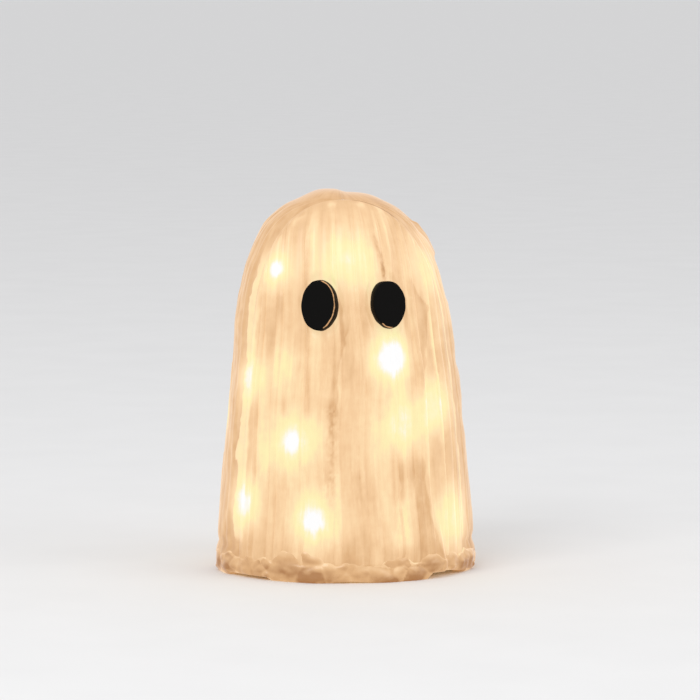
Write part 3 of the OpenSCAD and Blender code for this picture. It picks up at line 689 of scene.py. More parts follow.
@dataclass
class LampString:
    """The lamps behind the shell and the light that they send through it.

    A lamp shows as the one of looks that lies within match of it, and the lamps at the back as usual.
    """

    form: BodyForm
    looks: tuple[LampLook, ...] = (
        LampLook(-46, 162 * MM, 0.8, 0.95, 0.85, 1.1), LampLook(-1, 168 * MM, 0.26, 0.93, 1.12, 1.2),
        LampLook(19, 115 * MM, 0.9, 1.05, 1.02, 1.6), LampLook(-31, 73 * MM, 0.7, 1.03, 1.15, 1.5),
        LampLook(-20, 32 * MM, 0.8, 1.03, 1.18, 1.5), LampLook(-60, 103 * MM, 0.1, 0.95, 0.8, 0.9),
        LampLook(-57, 40 * MM, 0.5, 1.0, 0.95, 1.2), LampLook(46, 90 * MM, 0.05, 1.0, 0.95),
        LampLook(25, 81 * MM, 0.12, 1.06, 1.16, 1.7), LampLook(53, 30 * MM, 0.12, 1.08, 1.18, 1.8),
        LampLook(-34, 107 * MM, 0.0, 0.62, 0.95), LampLook(55, 161 * MM, 0.0, 0.65, 0.9))
    usual: LampLook = LampLook(180, 0.0, 0.65, 0.9, 1.0, 1.25)
    match: float = 13 * MM
    lamp_reach: float = 7 * MM
    behind: float = 6.5 * MM
    behind_share: float = 0.7
    core_size: float = 3.9 * MM
    core_edge: float = 1.5
    halo_size: float = 13.8 * MM
    halo_edge: float = 3.0
    wash_size: float = 42.0 * MM
    upright: float = 0.9
    places: list[tuple[np.ndarray, LampLook]] = field(default_factory=list)

    def __post_init__(self) -> None:
        """Finds each lamp of the frame, its place on the surface and its look."""
        form = self.form
        for tip in self.lamp_middles():
            for _ in range(2):
                x, y, height = tip[0] - form.leaning(tip[2]), tip[1], np.array(tip[2])
                angle = np.array(math.atan2(x / form.width, -y / form.depth))
                spot = form.skin(angle, height)
                tip = tip + form.normal(angle, height) * self.behind * self.behind_share
            near = [look for look in self.looks if np.linalg.norm(
                form.skin(np.array(math.radians(look.angle)), np.array(look.height)) - spot) < self.match]
            self.places.append((spot, near[0] if near else self.usual))

    def lamp_middles(self) -> list[np.ndarray]:
        """Middles of the separate lamps in the frame's mesh.

        Returns:
            One point for each lamp.
        """
        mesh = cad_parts["led_lamps"].data
        points = np.empty(len(mesh.vertices) * 3)
        mesh.vertices.foreach_get("co", points)
        points = points.reshape(-1, 3)
        left = np.ones(len(points), bool)
        middles = []
        while left.any():
            first = points[np.argmax(left)]
            lamp = left & (np.linalg.norm(points - first, axis=1) < self.lamp_reach)
            middles.append((points[lamp].min(0) + points[lamp].max(0)) / 2)
            left &= ~lamp
        return middles

    def light(self, points: np.ndarray) -> tuple[np.ndarray, np.ndarray, np.ndarray]:
        """Light that reaches points of the outer face.

        Args:
            points: Points, in metres.

        Returns:
            The wide wash, the rings and the spots.
        """
        wash, halo, core = (np.zeros(points.shape[:-1]) for _ in range(3))
        for spot, look in self.places:
            way = points - spot
            rise = way[..., 2] * self.upright
            reach = np.sqrt(way[..., 0] ** 2 + way[..., 1] ** 2 + rise ** 2)
            wash += np.exp(-reach / self.wash_size)
            halo += look.halo * np.exp(-(reach / (self.halo_size * look.spread)) ** self.halo_edge)
            core += look.core * np.exp(-(reach / (self.core_size * look.size)) ** self.core_edge)
        return wash, halo, core


def lane(edges: np.ndarray, s: np.ndarray) -> tuple[np.ndarray, np.ndarray]:
    """Finds the strand at each place.

    Args:
        edges: Edges of strands that lie side by side.
        s: Places across them.

    Returns:
        The strand's number, and the place across it from -1 to 1.
    """
    k = np.clip(np.searchsorted(edges, s) - 1, 0, len(edges) - 2)
    return k, 2 * (s - edges[k]) / (edges[k + 1] - edges[k]) - 1


@dataclass
class StrandPlan:
    """The broad strands side by side across a shell: where each lies, how high and how clear it is.

    A strand's tone changes along its way, over about tone_run, and is clearest on its crest.
    """

    count: int
    seed: int
    width_vary: float = 0.3
    lift_vary: float = 0.5
    turn: float = math.radians(137.5)
    tone_run: float = 30 * MM
    tone_gain: float = 1.7
    tone_slide: float = 0.37
    tone_apart: float = 3.0
    edge_tone: float = 0.35
    crest_tone: float = 0.7
    crest_mean: float = 0.66
    slow_share: float = 0.5
    slow_pace: float = 0.02
    parts: tuple[float, float] = (0.75, 1.25)
    edges: np.ndarray = field(init=False)
    lift: np.ndarray = field(init=False)
    part: np.ndarray = field(init=False)

    def __post_init__(self) -> None:
        """Lays the strands out, and draws their tones and their parts of a lamp's light."""
        k = np.arange(self.count + 1)
        inner = (k > 0) & (k < self.count)
        self.edges = (k + self.width_vary * np.sin(self.turn * k) * inner) / self.count
        self.lift = 1 - self.lift_vary * (1 + np.cos(self.turn * k[:-1])) / 2
        self.part = np.random.default_rng(self.seed).uniform(*self.parts, self.count)
        self.ripple = Ripple(self.seed + 60)

    def sample(self, s: np.ndarray, z: np.ndarray) -> tuple[np.ndarray, np.ndarray, np.ndarray, np.ndarray]:
        """Samples the strands.

        Args:
            s: Places across the shell, from 0 to 1.
            z: Heights.

        Returns:
            The strand's number, its height from 0 to 1, its tone, and its part of a lamp's light.
        """
        k, across = lane(self.edges, s)
        crest = np.clip(1 - across ** 2, 0.0, 1.0)
        cell = self.tone_apart * k
        slow = self.ripple.at(cell + 1, self.slow_pace * z)
        tone = self.ripple.at(cell, z / self.tone_run + self.tone_slide * k) + self.slow_share * slow
        tone = self.tone_gain * tone * (self.edge_tone + (1 - self.edge_tone) * crest)
        return k, self.lift[k] * crest, tone + self.crest_tone * (crest - self.crest_mean), self.part[k]


@dataclass
class Hairs:
    """Fine strands of random width on the broad ones, which come and go along their way."""

    reach: float
    seed: int
    narrow: float = 1.2 * MM
    wide: float = 4.4 * MM
    crest_power: float = 2.5
    life_mean: float = 0.5
    life_vary: float = 0.7
    life_apart: float = 3.7
    life_run: float = 30 * MM
    lifts: tuple[float, float] = (0.2, 1.0)
    edges: np.ndarray = field(init=False)
    tone: np.ndarray = field(init=False)
    lift: np.ndarray = field(init=False)

    def __post_init__(self) -> None:
        """Draws the widths, heights and tones."""
        draw = np.random.default_rng(self.seed)
        count = int(4 * self.reach / (self.narrow + self.wide)) + 4
        widths = draw.uniform(self.narrow, self.wide, count)
        self.edges = -self.reach + np.concatenate([[0.0], np.cumsum(widths)])
        self.tone = draw.normal(0.0, 1.0, count)
        self.lift = draw.uniform(*self.lifts, count)
        self.ripple = Ripple(self.seed + 1)

    def sample(self, t: np.ndarray, z: np.ndarray) -> tuple[np.ndarray, np.ndarray]:
        """Samples the fine strands.

        Args:
            t: Places across the strands, in metres.
            z: Heights.

        Returns:
            Their height from 0 to 1 and their tone.
        """
        k, across = lane(self.edges, t)
        crest = np.clip(1 - np.abs(across) ** self.crest_power, 0.0, 1.0)
        life = self.life_mean + self.life_vary * self.ripple.at(k * self.life_apart, z / self.life_run)
        return self.lift[k] * crest * life, self.tone[k] * life


class Ground(Enum):
    """Which way a shell's strands are laid, with the angle in degrees that they reach to each side."""

    FACE = 75
    BACK = 150


class Cut(Enum):
    """Side on which a run breaks off sharply."""

    LEFT = -1
    NONE = 0
    RIGHT = 1


@dataclass(frozen=True)
class Run:
    """A line that runs down the shell: a crease, a thick strand or the edge of a fold.

    angles are in degrees, from the top down as heights are, and all lengths are in millimetres. tone
    lightens or darkens the line, lift raises or sinks it, cut is the side on which it breaks off, fade is
    the length of its ends, and beads breaks it up into bubbles.
    """

    angles: tuple[float, ...]
    heights: tuple[float, ...]
    width: float
    tone: float = 0.0
    lift: float = 0.0
    cut: Cut = Cut.NONE
    fade: float = 7.0
    beads: float = 0.0


# Runs that the eye picks out on the front shell and along the outline of the rear one

FACE_RUNS = (
    # Crease down the middle, with the column of bubbles under it
    Run((-2, -6.5, -8.5, -10.7), (136, 121, 106, 82), 2.5, -3.2, -0.3, Cut.RIGHT, 10.0),
    Run((-5, -7, -10), (124, 104, 74), 6.0, -0.5),
    Run((-11.5, -12, -12.5), (98, 62, 34), 3.0, -3.2, 0.2, fade=10.0, beads=0.75),
    # Grey strand over the right eye
    Run((18.5, 20), (180, 152), 1.5, -5.5, 0.3, beads=0.5),
    # Dark strands
    Run((33, 33, 29, 27.5), (132, 100, 68, 48), 2.4, -1.9, -0.2),
    Run((34.5, 34, 33), (102, 86, 62), 1.8, -2.8, -0.1, fade=14.0),
    Run((-37, -36.5), (110, 82), 1.4, -3.4, -0.1),
    Run((-27, -27), (92, 56), 0.9, -4.0, -0.1, fade=12.0),
    Run((28.5, 27.5), (76, 44), 1.2, -2.2, -0.1, Cut.RIGHT, 6.0),
    Run((20.5, 20.5), (68, 36), 1.1, -1.7, -0.1, Cut.LEFT, 8.0),
    Run((1, 0.5), (58, 30), 4.0, -1.0, cut=Cut.RIGHT, fade=5.0),
    Run((-1, 1.5, 2), (64, 45, 16), 2.6, -1.2, 0.1),
    Run((18, 17, 16.5), (76, 52, 22), 1.8, -1.5, 0.1),
    Run((22.5, 21.5), (66, 36), 1.3, -1.4, -0.1),
    Run((7, 8.5), (58, 14), 1.6, -1.3, 0.1),
    Run((-23.5, -23.5), (114, 80), 1.8, -3.0, -0.1),
    Run((-45, -46), (134, 66), 2.0, -1.2, -0.1),
    # Shade of the pleat at the lower right
    Run((33, 34, 38, 45), (66, 44, 25, 6), 1.6, -3.0, cut=Cut.RIGHT),
    Run((27, 38), (46, 8), 5.0, -1.3),
    # Broad pale and dull patches
    Run((-1, -1), (104, 44), 9.0, 0.9),
    Run((18.5, 18.5), (74, 48), 6.0, -1.0),
    Run((-45, -45), (58, 26), 5.0, -1.5),
    Run((20, 21), (46, 14), 7.0, 3.0),
    Run((-44, -44), (162, 124), 4.0, -1.6),
    # Edge of the fold down the right side, and two broad patches
    Run((36, 39, 47, 42, 38, 36), (158, 149, 140, 124, 106, 86), 2.4, -2.6, cut=Cut.RIGHT),
    Run((-25, -25), (116, 84), 6.0, -1.2),
    Run((52, 54), (180, 116), 9.0, 2.3),
    # Pale strands, the drip between the eyes, the lit lip of the pleat and the dull right edge
    Run((43, 40, 37, 36), (132, 112, 84, 50), 1.3, 1.6, 0.2),
    Run((-50, -50), (130, 96), 1.2, 1.5, 0.1),
    Run((-8, -5.5, -6.5), (152, 140, 122), 2.0, -2.0, cut=Cut.RIGHT),
    Run((37, 38, 42, 50), (66, 44, 25, 8), 2.0, 1.6),
    Run((58, 58), (132, 34), 6.0, -1.5),
    Run((-28, -29), (190, 160), 1.4, 1.2, 0.1),
    Run((8, 9), (190, 160), 1.0, 1.0, 0.1))

BACK_RUNS = (
    # Lit patch of the right shoulder
    Run((72, 74), (182, 126), 14.0, 3.0),
    # Bumps and dents of both flanks
    Run((88, 88), (184, 163), 8.0, lift=1.3, fade=3.0),
    Run((88, 88), (166, 140), 8.0, lift=-0.7, fade=3.0),
    Run((82, 82), (196, 172), 8.0, lift=-1.0),
    Run((274, 274), (150, 124), 8.0, lift=0.6),
    Run((272, 272), (122, 92), 7.0, lift=-0.7),
    Run((90, 90), (110, 84), 7.0, lift=0.7))


@dataclass
class Spots:
    """Places on a shell and what is laid on them so far, as arrays of one shape.

    rim is the distance from the weld, across the place across the strands in metres, spent 1 on the
    sides and 0 on the crown where the strands have run out, and ragged an uneven noise. lift is the
    height over the plain surface in metres, shade a tone, dull below 0 and bright above it, and fibre how
    clearly fine streaks show.
    """

    a: np.ndarray
    z: np.ndarray
    rim: np.ndarray
    x: np.ndarray
    y: np.ndarray
    across: np.ndarray
    spent: np.ndarray
    ragged: np.ndarray
    lift: np.ndarray
    shade: np.ndarray
    fibre: np.ndarray


@dataclass(frozen=True)
class FaceEdge:
    """Edge of the front shell: a bright strip up its left side, and a milky cracked weld on the crown."""

    weld_fade: float = 3 * MM
    crown_from: float = 125 * MM
    crown_run: float = 40 * MM
    strip_w: float = 3.0 * MM
    strip_ragged: float = 1.2 * MM
    strip_soft: float = 2 * MM
    strip_turn: float = 0.3
    strip_from: float = 17 * MM
    strip_run: float = 5 * MM
    strip_tone: float = 3.3
    strip_cover: float = 0.8
    crown_fibre: float = 0.15
    laid_w: float = 9 * MM
    laid_fibre: float = 0.85
    laid_tone: float = 0.75
    weld_tone: float = 1.2
    weld_w: float = 7 * MM
    weld_ragged: float = 4 * MM
    speck_tone: float = 2.2
    speck_from: float = 0.35
    speck_at: float = 4 * MM
    speck_w: float = 2.5 * MM
    crown_tone: float = 0.8
    crack_first: float = 0.15
    crack_last: float = 0.92
    crack_ends: float = 0.1
    crack_from: float = 183 * MM
    crack_run: float = 3 * MM
    crack_tone: float = 7.0
    crack_w: float = 1.1 * MM

    def lay(self, on: Spots) -> None:
        """Lays the edge on a shell.

        Args:
            on: The shell's places.
        """
        on.lift = on.lift * np.clip(on.rim / self.weld_fade, 0, 1)
        high = ease((on.z - self.crown_from) / self.crown_run)
        strip = 1 - ease((on.rim - self.strip_w - self.strip_ragged * on.ragged) / self.strip_soft)
        left = ease(0.5 - on.a / self.strip_turn) * (1 - high) * strip
        left = left * ease((on.z - self.strip_from) / self.strip_run)
        on.shade = on.shade + left * (self.strip_tone - self.strip_cover * on.shade)
        sides = self.crown_fibre + (1 - self.crown_fibre) * on.spent
        laid = high * hump(on.rim / self.laid_w)
        on.fibre = on.fibre * (1 - self.strip_cover * left) * sides * (1 - self.laid_fibre * laid)
        on.shade = on.shade * (1 - self.laid_tone * laid)
        on.shade -= self.weld_tone * high * hump((on.rim + self.weld_ragged * on.ragged) / self.weld_w)
        specks = ease((on.ragged - self.speck_from) / self.speck_from)
        on.shade += self.speck_tone * high * specks * hump((on.rim - self.speck_at) / self.speck_w)
        on.shade += self.crown_tone * high * (1 - on.spent) * on.ragged
        crack = ease((on.a - self.crack_first) / self.crack_ends)
        crack = crack * ease((self.crack_last - on.a) / self.crack_ends)
        crack = crack * ease((on.z - self.crack_from) / self.crack_run)
        on.shade -= self.crack_tone * crack * hump(on.rim / self.crack_w)


@dataclass(frozen=True)
class BackEdge:
    """Edge of the rear shell: a dull smooth band round the front one, with a torn bright strip at the weld.

    The strip is wide on the left flank and narrow on the right. Names that end in mm are in millimetres.
    """

    band_w: float = 26 * MM
    band_run: float = 16 * MM
    band_tone: float = 2.2
    band_vary: float = 0.7
    band_cover: float = 0.9
    band_flat: float = 0.65
    band_grain: Grain = Grain(3.5, 4.5, 15, 80)
    tear_run: float = 16 * MM
    tear_cell: float = 7.5
    tear_mm: float = 2.0
    tear_ragged_mm: float = 1.6
    tear_fine_mm: float = 1.1
    tear_grain: Grain = Grain(2.2, 9, 0, 3.5)
    left_mm: float = 5.6
    right_mm: float = 2.2
    right_torn: float = 0.5
    right_share: float = 0.8
    strip_soft: float = 0.6 * MM
    strip_to: float = 150 * MM
    strip_end: float = 30 * MM
    strip_from: float = 17 * MM
    strip_run: float = 5 * MM
    strip_tone: float = 3.2
    waist_depth: float = 1.1 * MM
    waist_at: float = 15.5 * MM
    waist_w: float = 3 * MM
    dent: float = 0.4 * MM
    dent_sunk: float = 0.25 * MM
    dent_grain: Grain = Grain(9, 10, 9)
    pimple_mm: float = 0.15
    pimple_grain: Grain = Grain(5, 5, 31)
    bump_from: float = -26 * MM
    bump_rise: float = 14 * MM
    bump_to: float = 1 * MM
    bump_fall: float = 7 * MM
    bump_mm: float = 1.3
    crown_mm: float = 0.5
    crown_sunk_mm: float = 1.5
    crown_grain: Grain = Grain(12, 12, 5, 9)

    def lay(self, on: Spots, noise: Ripple) -> None:
        """Lays the edge on a shell.

        Args:
            on: The shell's places.
            noise: Noise of the shell.
        """
        crown = 1 - on.spent
        band = np.maximum(1 - ease((on.rim - self.band_w) / self.band_run), crown)
        fine = self.band_grain.of(noise, on.across, on.z)
        dull = self.band_tone + self.band_vary * crown + self.band_vary * on.ragged - self.band_vary * fine
        on.shade = on.shade * (1 - self.band_cover * band) - band * dull
        left = on.a > math.pi
        slow = noise.at(on.z / self.tear_run, np.full_like(on.z, self.tear_cell))
        torn = self.tear_mm * slow + self.tear_ragged_mm * on.ragged
        torn += self.tear_fine_mm * self.tear_grain.of(noise, on.z, on.across)
        torn = np.where(left, self.left_mm + torn, self.right_mm + self.right_torn * torn) * MM
        strip = (1 - ease((on.rim - torn) / self.strip_soft)) * on.spent
        strip = strip * (1 - ease((on.z - self.strip_to) / self.strip_end))
        strip = strip * np.where(left, 1.0, self.right_share)
        strip = strip * ease((on.z - self.strip_from) / self.strip_run)
        on.shade += strip * (self.strip_tone - on.shade)
        on.lift = on.lift * (1 - self.band_flat * band)
        on.lift -= self.waist_depth * hump((on.z - self.waist_at) / self.waist_w)
        on.lift += on.spent * (self.dent * self.dent_grain.of(noise, on.across, on.z) - self.dent_sunk)
        on.lift += on.spent * band * self.pimple_mm * MM * self.pimple_grain.of(noise, on.across, on.z)
        bump = ease((on.x - self.bump_from) / self.bump_rise) * ease((self.bump_to - on.x) / self.bump_fall)
        lumps = self.crown_mm * self.crown_grain.of(noise, on.x, on.y)
        on.lift += crown * MM * (lumps - self.crown_sunk_mm + self.bump_mm * bump)
        on.fibre = on.fibre * (1 - self.band_cover * band)


@dataclass
class StrandShell:
    """One welded half of the body: a sheet of strands with a plain inner face.

    glow_level is the light through a plain place far from the lamps, and the other names that start
    with glow are what the lamps, the strands and the foot add to it or take off.
    """

    form: BodyForm
    lamps: LampString
    ground: Ground
    name: str
    node: str
    strands: StrandPlan
    cols: int
    runs: tuple[Run, ...]
    press: tuple[tuple[float, float], ...] = ()
    pitch: float = 1.1 * MM
    coarse: int = 8
    arc: float = 60 * MM
    face_reach: float = math.radians(62.2)
    converge: float = 0.6
    wander: float = math.radians(0.7)
    wander_run: float = 90 * MM
    strand_lift: float = 1.3 * MM
    strand_vary: float = 0.1
    strand_apart: float = 1.7
    strand_run: float = 30 * MM
    edge_share: float = 0.25
    foot_flat: float = 0.75
    foot_run: float = 11 * MM
    hair_lift: float = 0.22 * MM
    hair_mean: float = 0.3
    hair_sway: float = 0.7 * MM
    hair_grain: Grain = Grain(6, 22)
    dent: float = 0.22 * MM
    dent_grain: Grain = Grain(11, 15)
    lap_run: float = 47 * MM
    lap_step: float = 0.32 * MM
    lap_mean: float = 0.6
    lap_shift: float = 0.618
    lap_pick: float = 2.4
    run_out: float = 12 * MM
    crown_tone: float = 0.1
    broad_tone: float = 0.9
    broad_grain: Grain = Grain(13, 30, 50)
    patch_tone: float = 0.7
    patch_grain: Grain = Grain(6, 11, 20, 30)
    fibre_mean: float = 0.75
    fibre_vary: float = 0.6
    fibre_grain: Grain = Grain(17, 26, 90, 11)
    ragged_grain: Grain = Grain(5, 8, 70)
    ragged_fine: Grain = Grain(2.4, 3.5, 0, 60)
    ragged_share: float = 0.6
    swept_grain: Grain = Grain(15, 2.2, 40)
    swept_fine: Grain = Grain(5, 5, 0, 20)
    swept_share: float = 0.5
    cut_ragged: float = 1.1 * MM
    cut_steep: float = 0.2
    bead_grain: Grain = Grain(1.1, 1.3, 20)
    press_w: float = 10.5 * MM
    press_h: float = 14.5 * MM
    press_steep: float = 5
    crown_slope: float = 1.6
    halo_most: float = 1.15
    halo_cover: float = 0.5
    glow_level: float = 0.405
    glow_wash: float = 0.02
    wash_mean: float = 2.2
    glow_tone: float = 0.062
    glow_halo: float = 0.36
    halo_parted: float = 0.2
    glow_core: float = 0.42
    glow_foot: float = 0.10
    glow_foot_run: float = 24 * MM
    glow_inside: float = 0.8

    def __post_init__(self) -> None:
        """Draws the fine strands and the lumps."""
        self.hairs = Hairs(math.radians(self.ground.value) * self.arc, self.strands.seed + 10)
        self.lumps = Ripple(self.strands.seed + 30)
        if self.ground is Ground.BACK:
            self.strands.lift[[0, -1]] *= self.edge_share

    def edges(self, z: np.ndarray) -> tuple[np.ndarray, np.ndarray]:
        """Edges of the shell.

        Args:
            z: Heights.

        Returns:
            First angle and angle swept, at each height.
        """
        weld = self.form.seam_angle(z)
        if self.ground is Ground.FACE:
            return -weld, 2 * weld
        return weld, FULL_TURN - 2 * weld

    def across(self, a: np.ndarray, z: np.ndarray) -> tuple[np.ndarray, np.ndarray]:
        """Places across the strands.

        Args:
            a: Angles from the face.
            z: Heights.

        Returns:
            Share of the way across the shell, and place in metres from its middle.
        """
        wave = FULL_TURN * z / self.wander_run
        if self.ground is Ground.FACE:
            upright = np.arcsin(np.clip(self.form.dome(z) ** self.converge * np.sin(a), -1, 1))
            upright = upright - self.wander * np.sin(wave + 2 * upright)
            return (upright / self.face_reach + 1) / 2, upright * self.arc
        first, span = self.edges(z)
        span = np.maximum(span, TINY)
        share = (a - first) / span
        sway = self.wander * np.sin(wave + 2 * a) * np.sin(math.pi * share)
        return np.clip(share - sway / span, 0, 1), (a - sway - math.pi) * self.arc

    def lay_strands(self, a: np.ndarray, z: np.ndarray, rim: np.ndarray) -> tuple[Spots, np.ndarray]:
        """Lays the broad and the fine strands.

        Args:
            a: Angles from the face.
            z: Heights.
            rim: Distance from the weld.

        Returns:
            The places with their strands, and each strand's part of a lamp's light.
        """
        form, noise = self.form, self.lumps
        share, t = self.across(a, z)
        k, height, tone, part = self.strands.sample(share, z)
        hair, hair_tone = self.hairs.sample(t + self.hair_sway * self.hair_grain.of(noise, t, z), z)
        uneven = noise.at(k * self.strand_apart, z / self.strand_run)
        lift = self.strand_lift * height * (1 - self.strand_vary + self.strand_vary * uneven)
        lift *= 1 - self.foot_flat * (1 - ease((z - form.foot) / self.foot_run))
        lift += self.hair_lift * (hair - self.hair_mean)
        lift += self.dent * self.dent_grain.of(noise, t, z)
        lap = (z / self.lap_run + k * self.lap_shift) % 1.0
        lift += self.lap_step * (lap - self.lap_mean) * (np.sin(k * self.lap_pick) > 0)
        spent = np.clip((form.flank(z)[1] * form.dome(z) - form.seam(z)) / self.run_out, 0.0, 1.0)
        clear = self.crown_tone + (1 - self.crown_tone) * spent
        shade = clear * (tone + hair_tone)
        shade += clear * (self.broad_tone * self.broad_grain.of(noise, t, z)
                          + self.patch_tone * self.patch_grain.of(noise, t, z))
        fibre = self.fibre_mean + self.fibre_vary * self.fibre_grain.of(noise, t, z)
        x, y, _ = np.moveaxis(form.skin(a, z), -1, 0)
        ragged = self.ragged_grain.of(noise, t, z) + self.ragged_share * self.ragged_fine.of(noise, t, z)
        swept = self.swept_grain.of(noise, x, y) + self.swept_share * self.swept_fine.of(noise, x, y)
        ragged = ragged * spent + swept * (1 - spent)
        return Spots(a, z, rim, x, y, t, spent, ragged, lift * spent, shade, fibre), part

    def lay_run(self, run: Run, on: Spots) -> None:
        """Lays one run over the strands.

        Args:
            run: The run.
            on: The shell's places.
        """
        tops = np.array(run.heights) * MM
        line = np.interp(on.z, tops[::-1], np.radians(run.angles)[::-1])
        fade = run.fade * MM
        ends = ease((tops[0] - on.z) / fade) * ease((on.z - tops[-1]) / fade)
        cut = run.cut.value
        off = (on.a - line) * self.arc + self.cut_ragged * cut * on.ragged
        wide = run.width * MM * np.where(cut * off > 0, self.cut_steep, 1 + abs(cut))
        near = hump(off / wide) * ends
        beads = 1 + run.beads * self.bead_grain.of(self.lumps, off, on.z)
        on.lift += near * run.lift * MM * beads
        on.shade += near * run.tone * beads

    def pressed(self, a: np.ndarray, z: np.ndarray) -> np.ndarray:
        """Where the strands are pressed flat under the eyes.

        Args:
            a: Angles from the face.
            z: Heights.

        Returns:
            0 under the eyes and 1 elsewhere.
        """
        flat = np.ones(a.shape)
        for eye_angle, eye_height in self.press:
            dx = (a - eye_angle) * self.form.flank(z)[0] / self.press_w
            dz = (z - eye_height) / self.press_h
            flat = np.minimum(flat, ease((np.hypot(dx, dz) - 1) * self.press_steep))
        return flat

    def glow(self, on: Spots, part: np.ndarray) -> np.ndarray:
        """Light that comes through the shell.

        Args:
            on: The shell's places.
            part: Each strand's part of a lamp's light.

        Returns:
            Light from about 0 to 1.
        """
        wash, halo, core = self.lamps.light(self.form.skin(on.a, on.z))
        foot = ease((on.z - self.form.foot) / self.glow_foot_run)
        halo = np.minimum(halo, self.halo_most)
        tone = on.shade * (1 - self.halo_cover * np.minimum(halo, 1))
        parted = 1 - self.halo_parted + self.halo_parted * part
        glow = self.glow_level + self.glow_wash * (wash - self.wash_mean) + self.glow_tone * tone
        return glow + parted * self.glow_halo * halo + self.glow_core * core - self.glow_foot * (1 - foot)

    def build(self, material: bpy.types.Material) -> bpy.types.Object:
        """Builds the shell and lets it stand for its node.

        Args:
            material: Finish of the shell.

        Returns:
            The piece.
        """
        form, seam_top = self.form, self.form.seam_top()
        top = seam_top if self.ground is Ground.FACE else form.height
        z = np.repeat(form.rows(top, self.pitch, self.coarse)[:, None], self.cols + 1, 1)
        first, span = self.edges(z)
        share = np.linspace(0.0, 1.0, self.cols + 1)[None, :]
        a = first + span * share
        rim = np.minimum(share, 1 - share) * span * (form.flank(z)[0] * form.dome(z))
        above = z - seam_top
        if self.ground is Ground.FACE:
            on, part = self.lay_strands(a, z, np.minimum(rim, -self.crown_slope * above))
            FaceEdge().lay(on)
        else:
            on, part = self.lay_strands(a, z, np.where(above > 0, above, rim))
            BackEdge().lay(on, self.lumps)
        for run in self.runs:
            self.lay_run(run, on)
        lift = on.lift * self.pressed(a, z)
        pile = MeshPile()
        sheet = pile.add(form.skin(a, z) + form.normal(a, z) * lift[..., None], glow=self.glow(on, part),
                         fibre=on.fibre, round=on.across, up=z)
        a, z = a[::self.coarse, ::self.coarse], z[::self.coarse, ::self.coarse]
        inner = pile.add(form.skin(a, z, form.wall), glow=self.glow_inside, fibre=1.0,
                         round=self.across(a, z)[1], up=z)
        pile.skin(sheet)
        pile.skin(inner, flip=True)
        pile.stitch(sheet[0], inner[0])
        pile.stitch(sheet[:, 0], inner[:, 0], flip=True)
        pile.stitch(sheet[:, -1], inner[:, -1])
        piece = pile.make(self.name, material)
        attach(piece, BODY)
        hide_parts(self.node)
        return piece


# The hem, the eyes and the unit in the base

@dataclass(frozen=True)
class Lump:
    """One lump of the hem: its angle in degrees, its height, radius and thickness in mm, and its tone."""

    angle: float
    height: float
    radius: float
    tall: float
    tone: float


@dataclass(frozen=True)
class LumpRow:
    """A row of lumps with random sizes: its angles in degrees, number, radii in mm and most tone."""

    first: float
    span: float
    count: int
    radii: tuple[float, float]
    tone: float

    def draw(self, dice: np.random.Generator) -> list[Lump]:
        """Draws the lumps.

        Args:
            dice: Where the numbers come from.

        Returns:
            The lumps, in order round the hem.
        """
        shift, heights, thick = 4, (1, 9), (1.4, 2.2)
        return [Lump(self.first + self.span * i / (self.count - 1) + dice.uniform(-shift, shift),
                     dice.uniform(*heights), dice.uniform(*self.radii), dice.uniform(*thick),
                     dice.uniform(-self.tone, self.tone)) for i in range(self.count)]


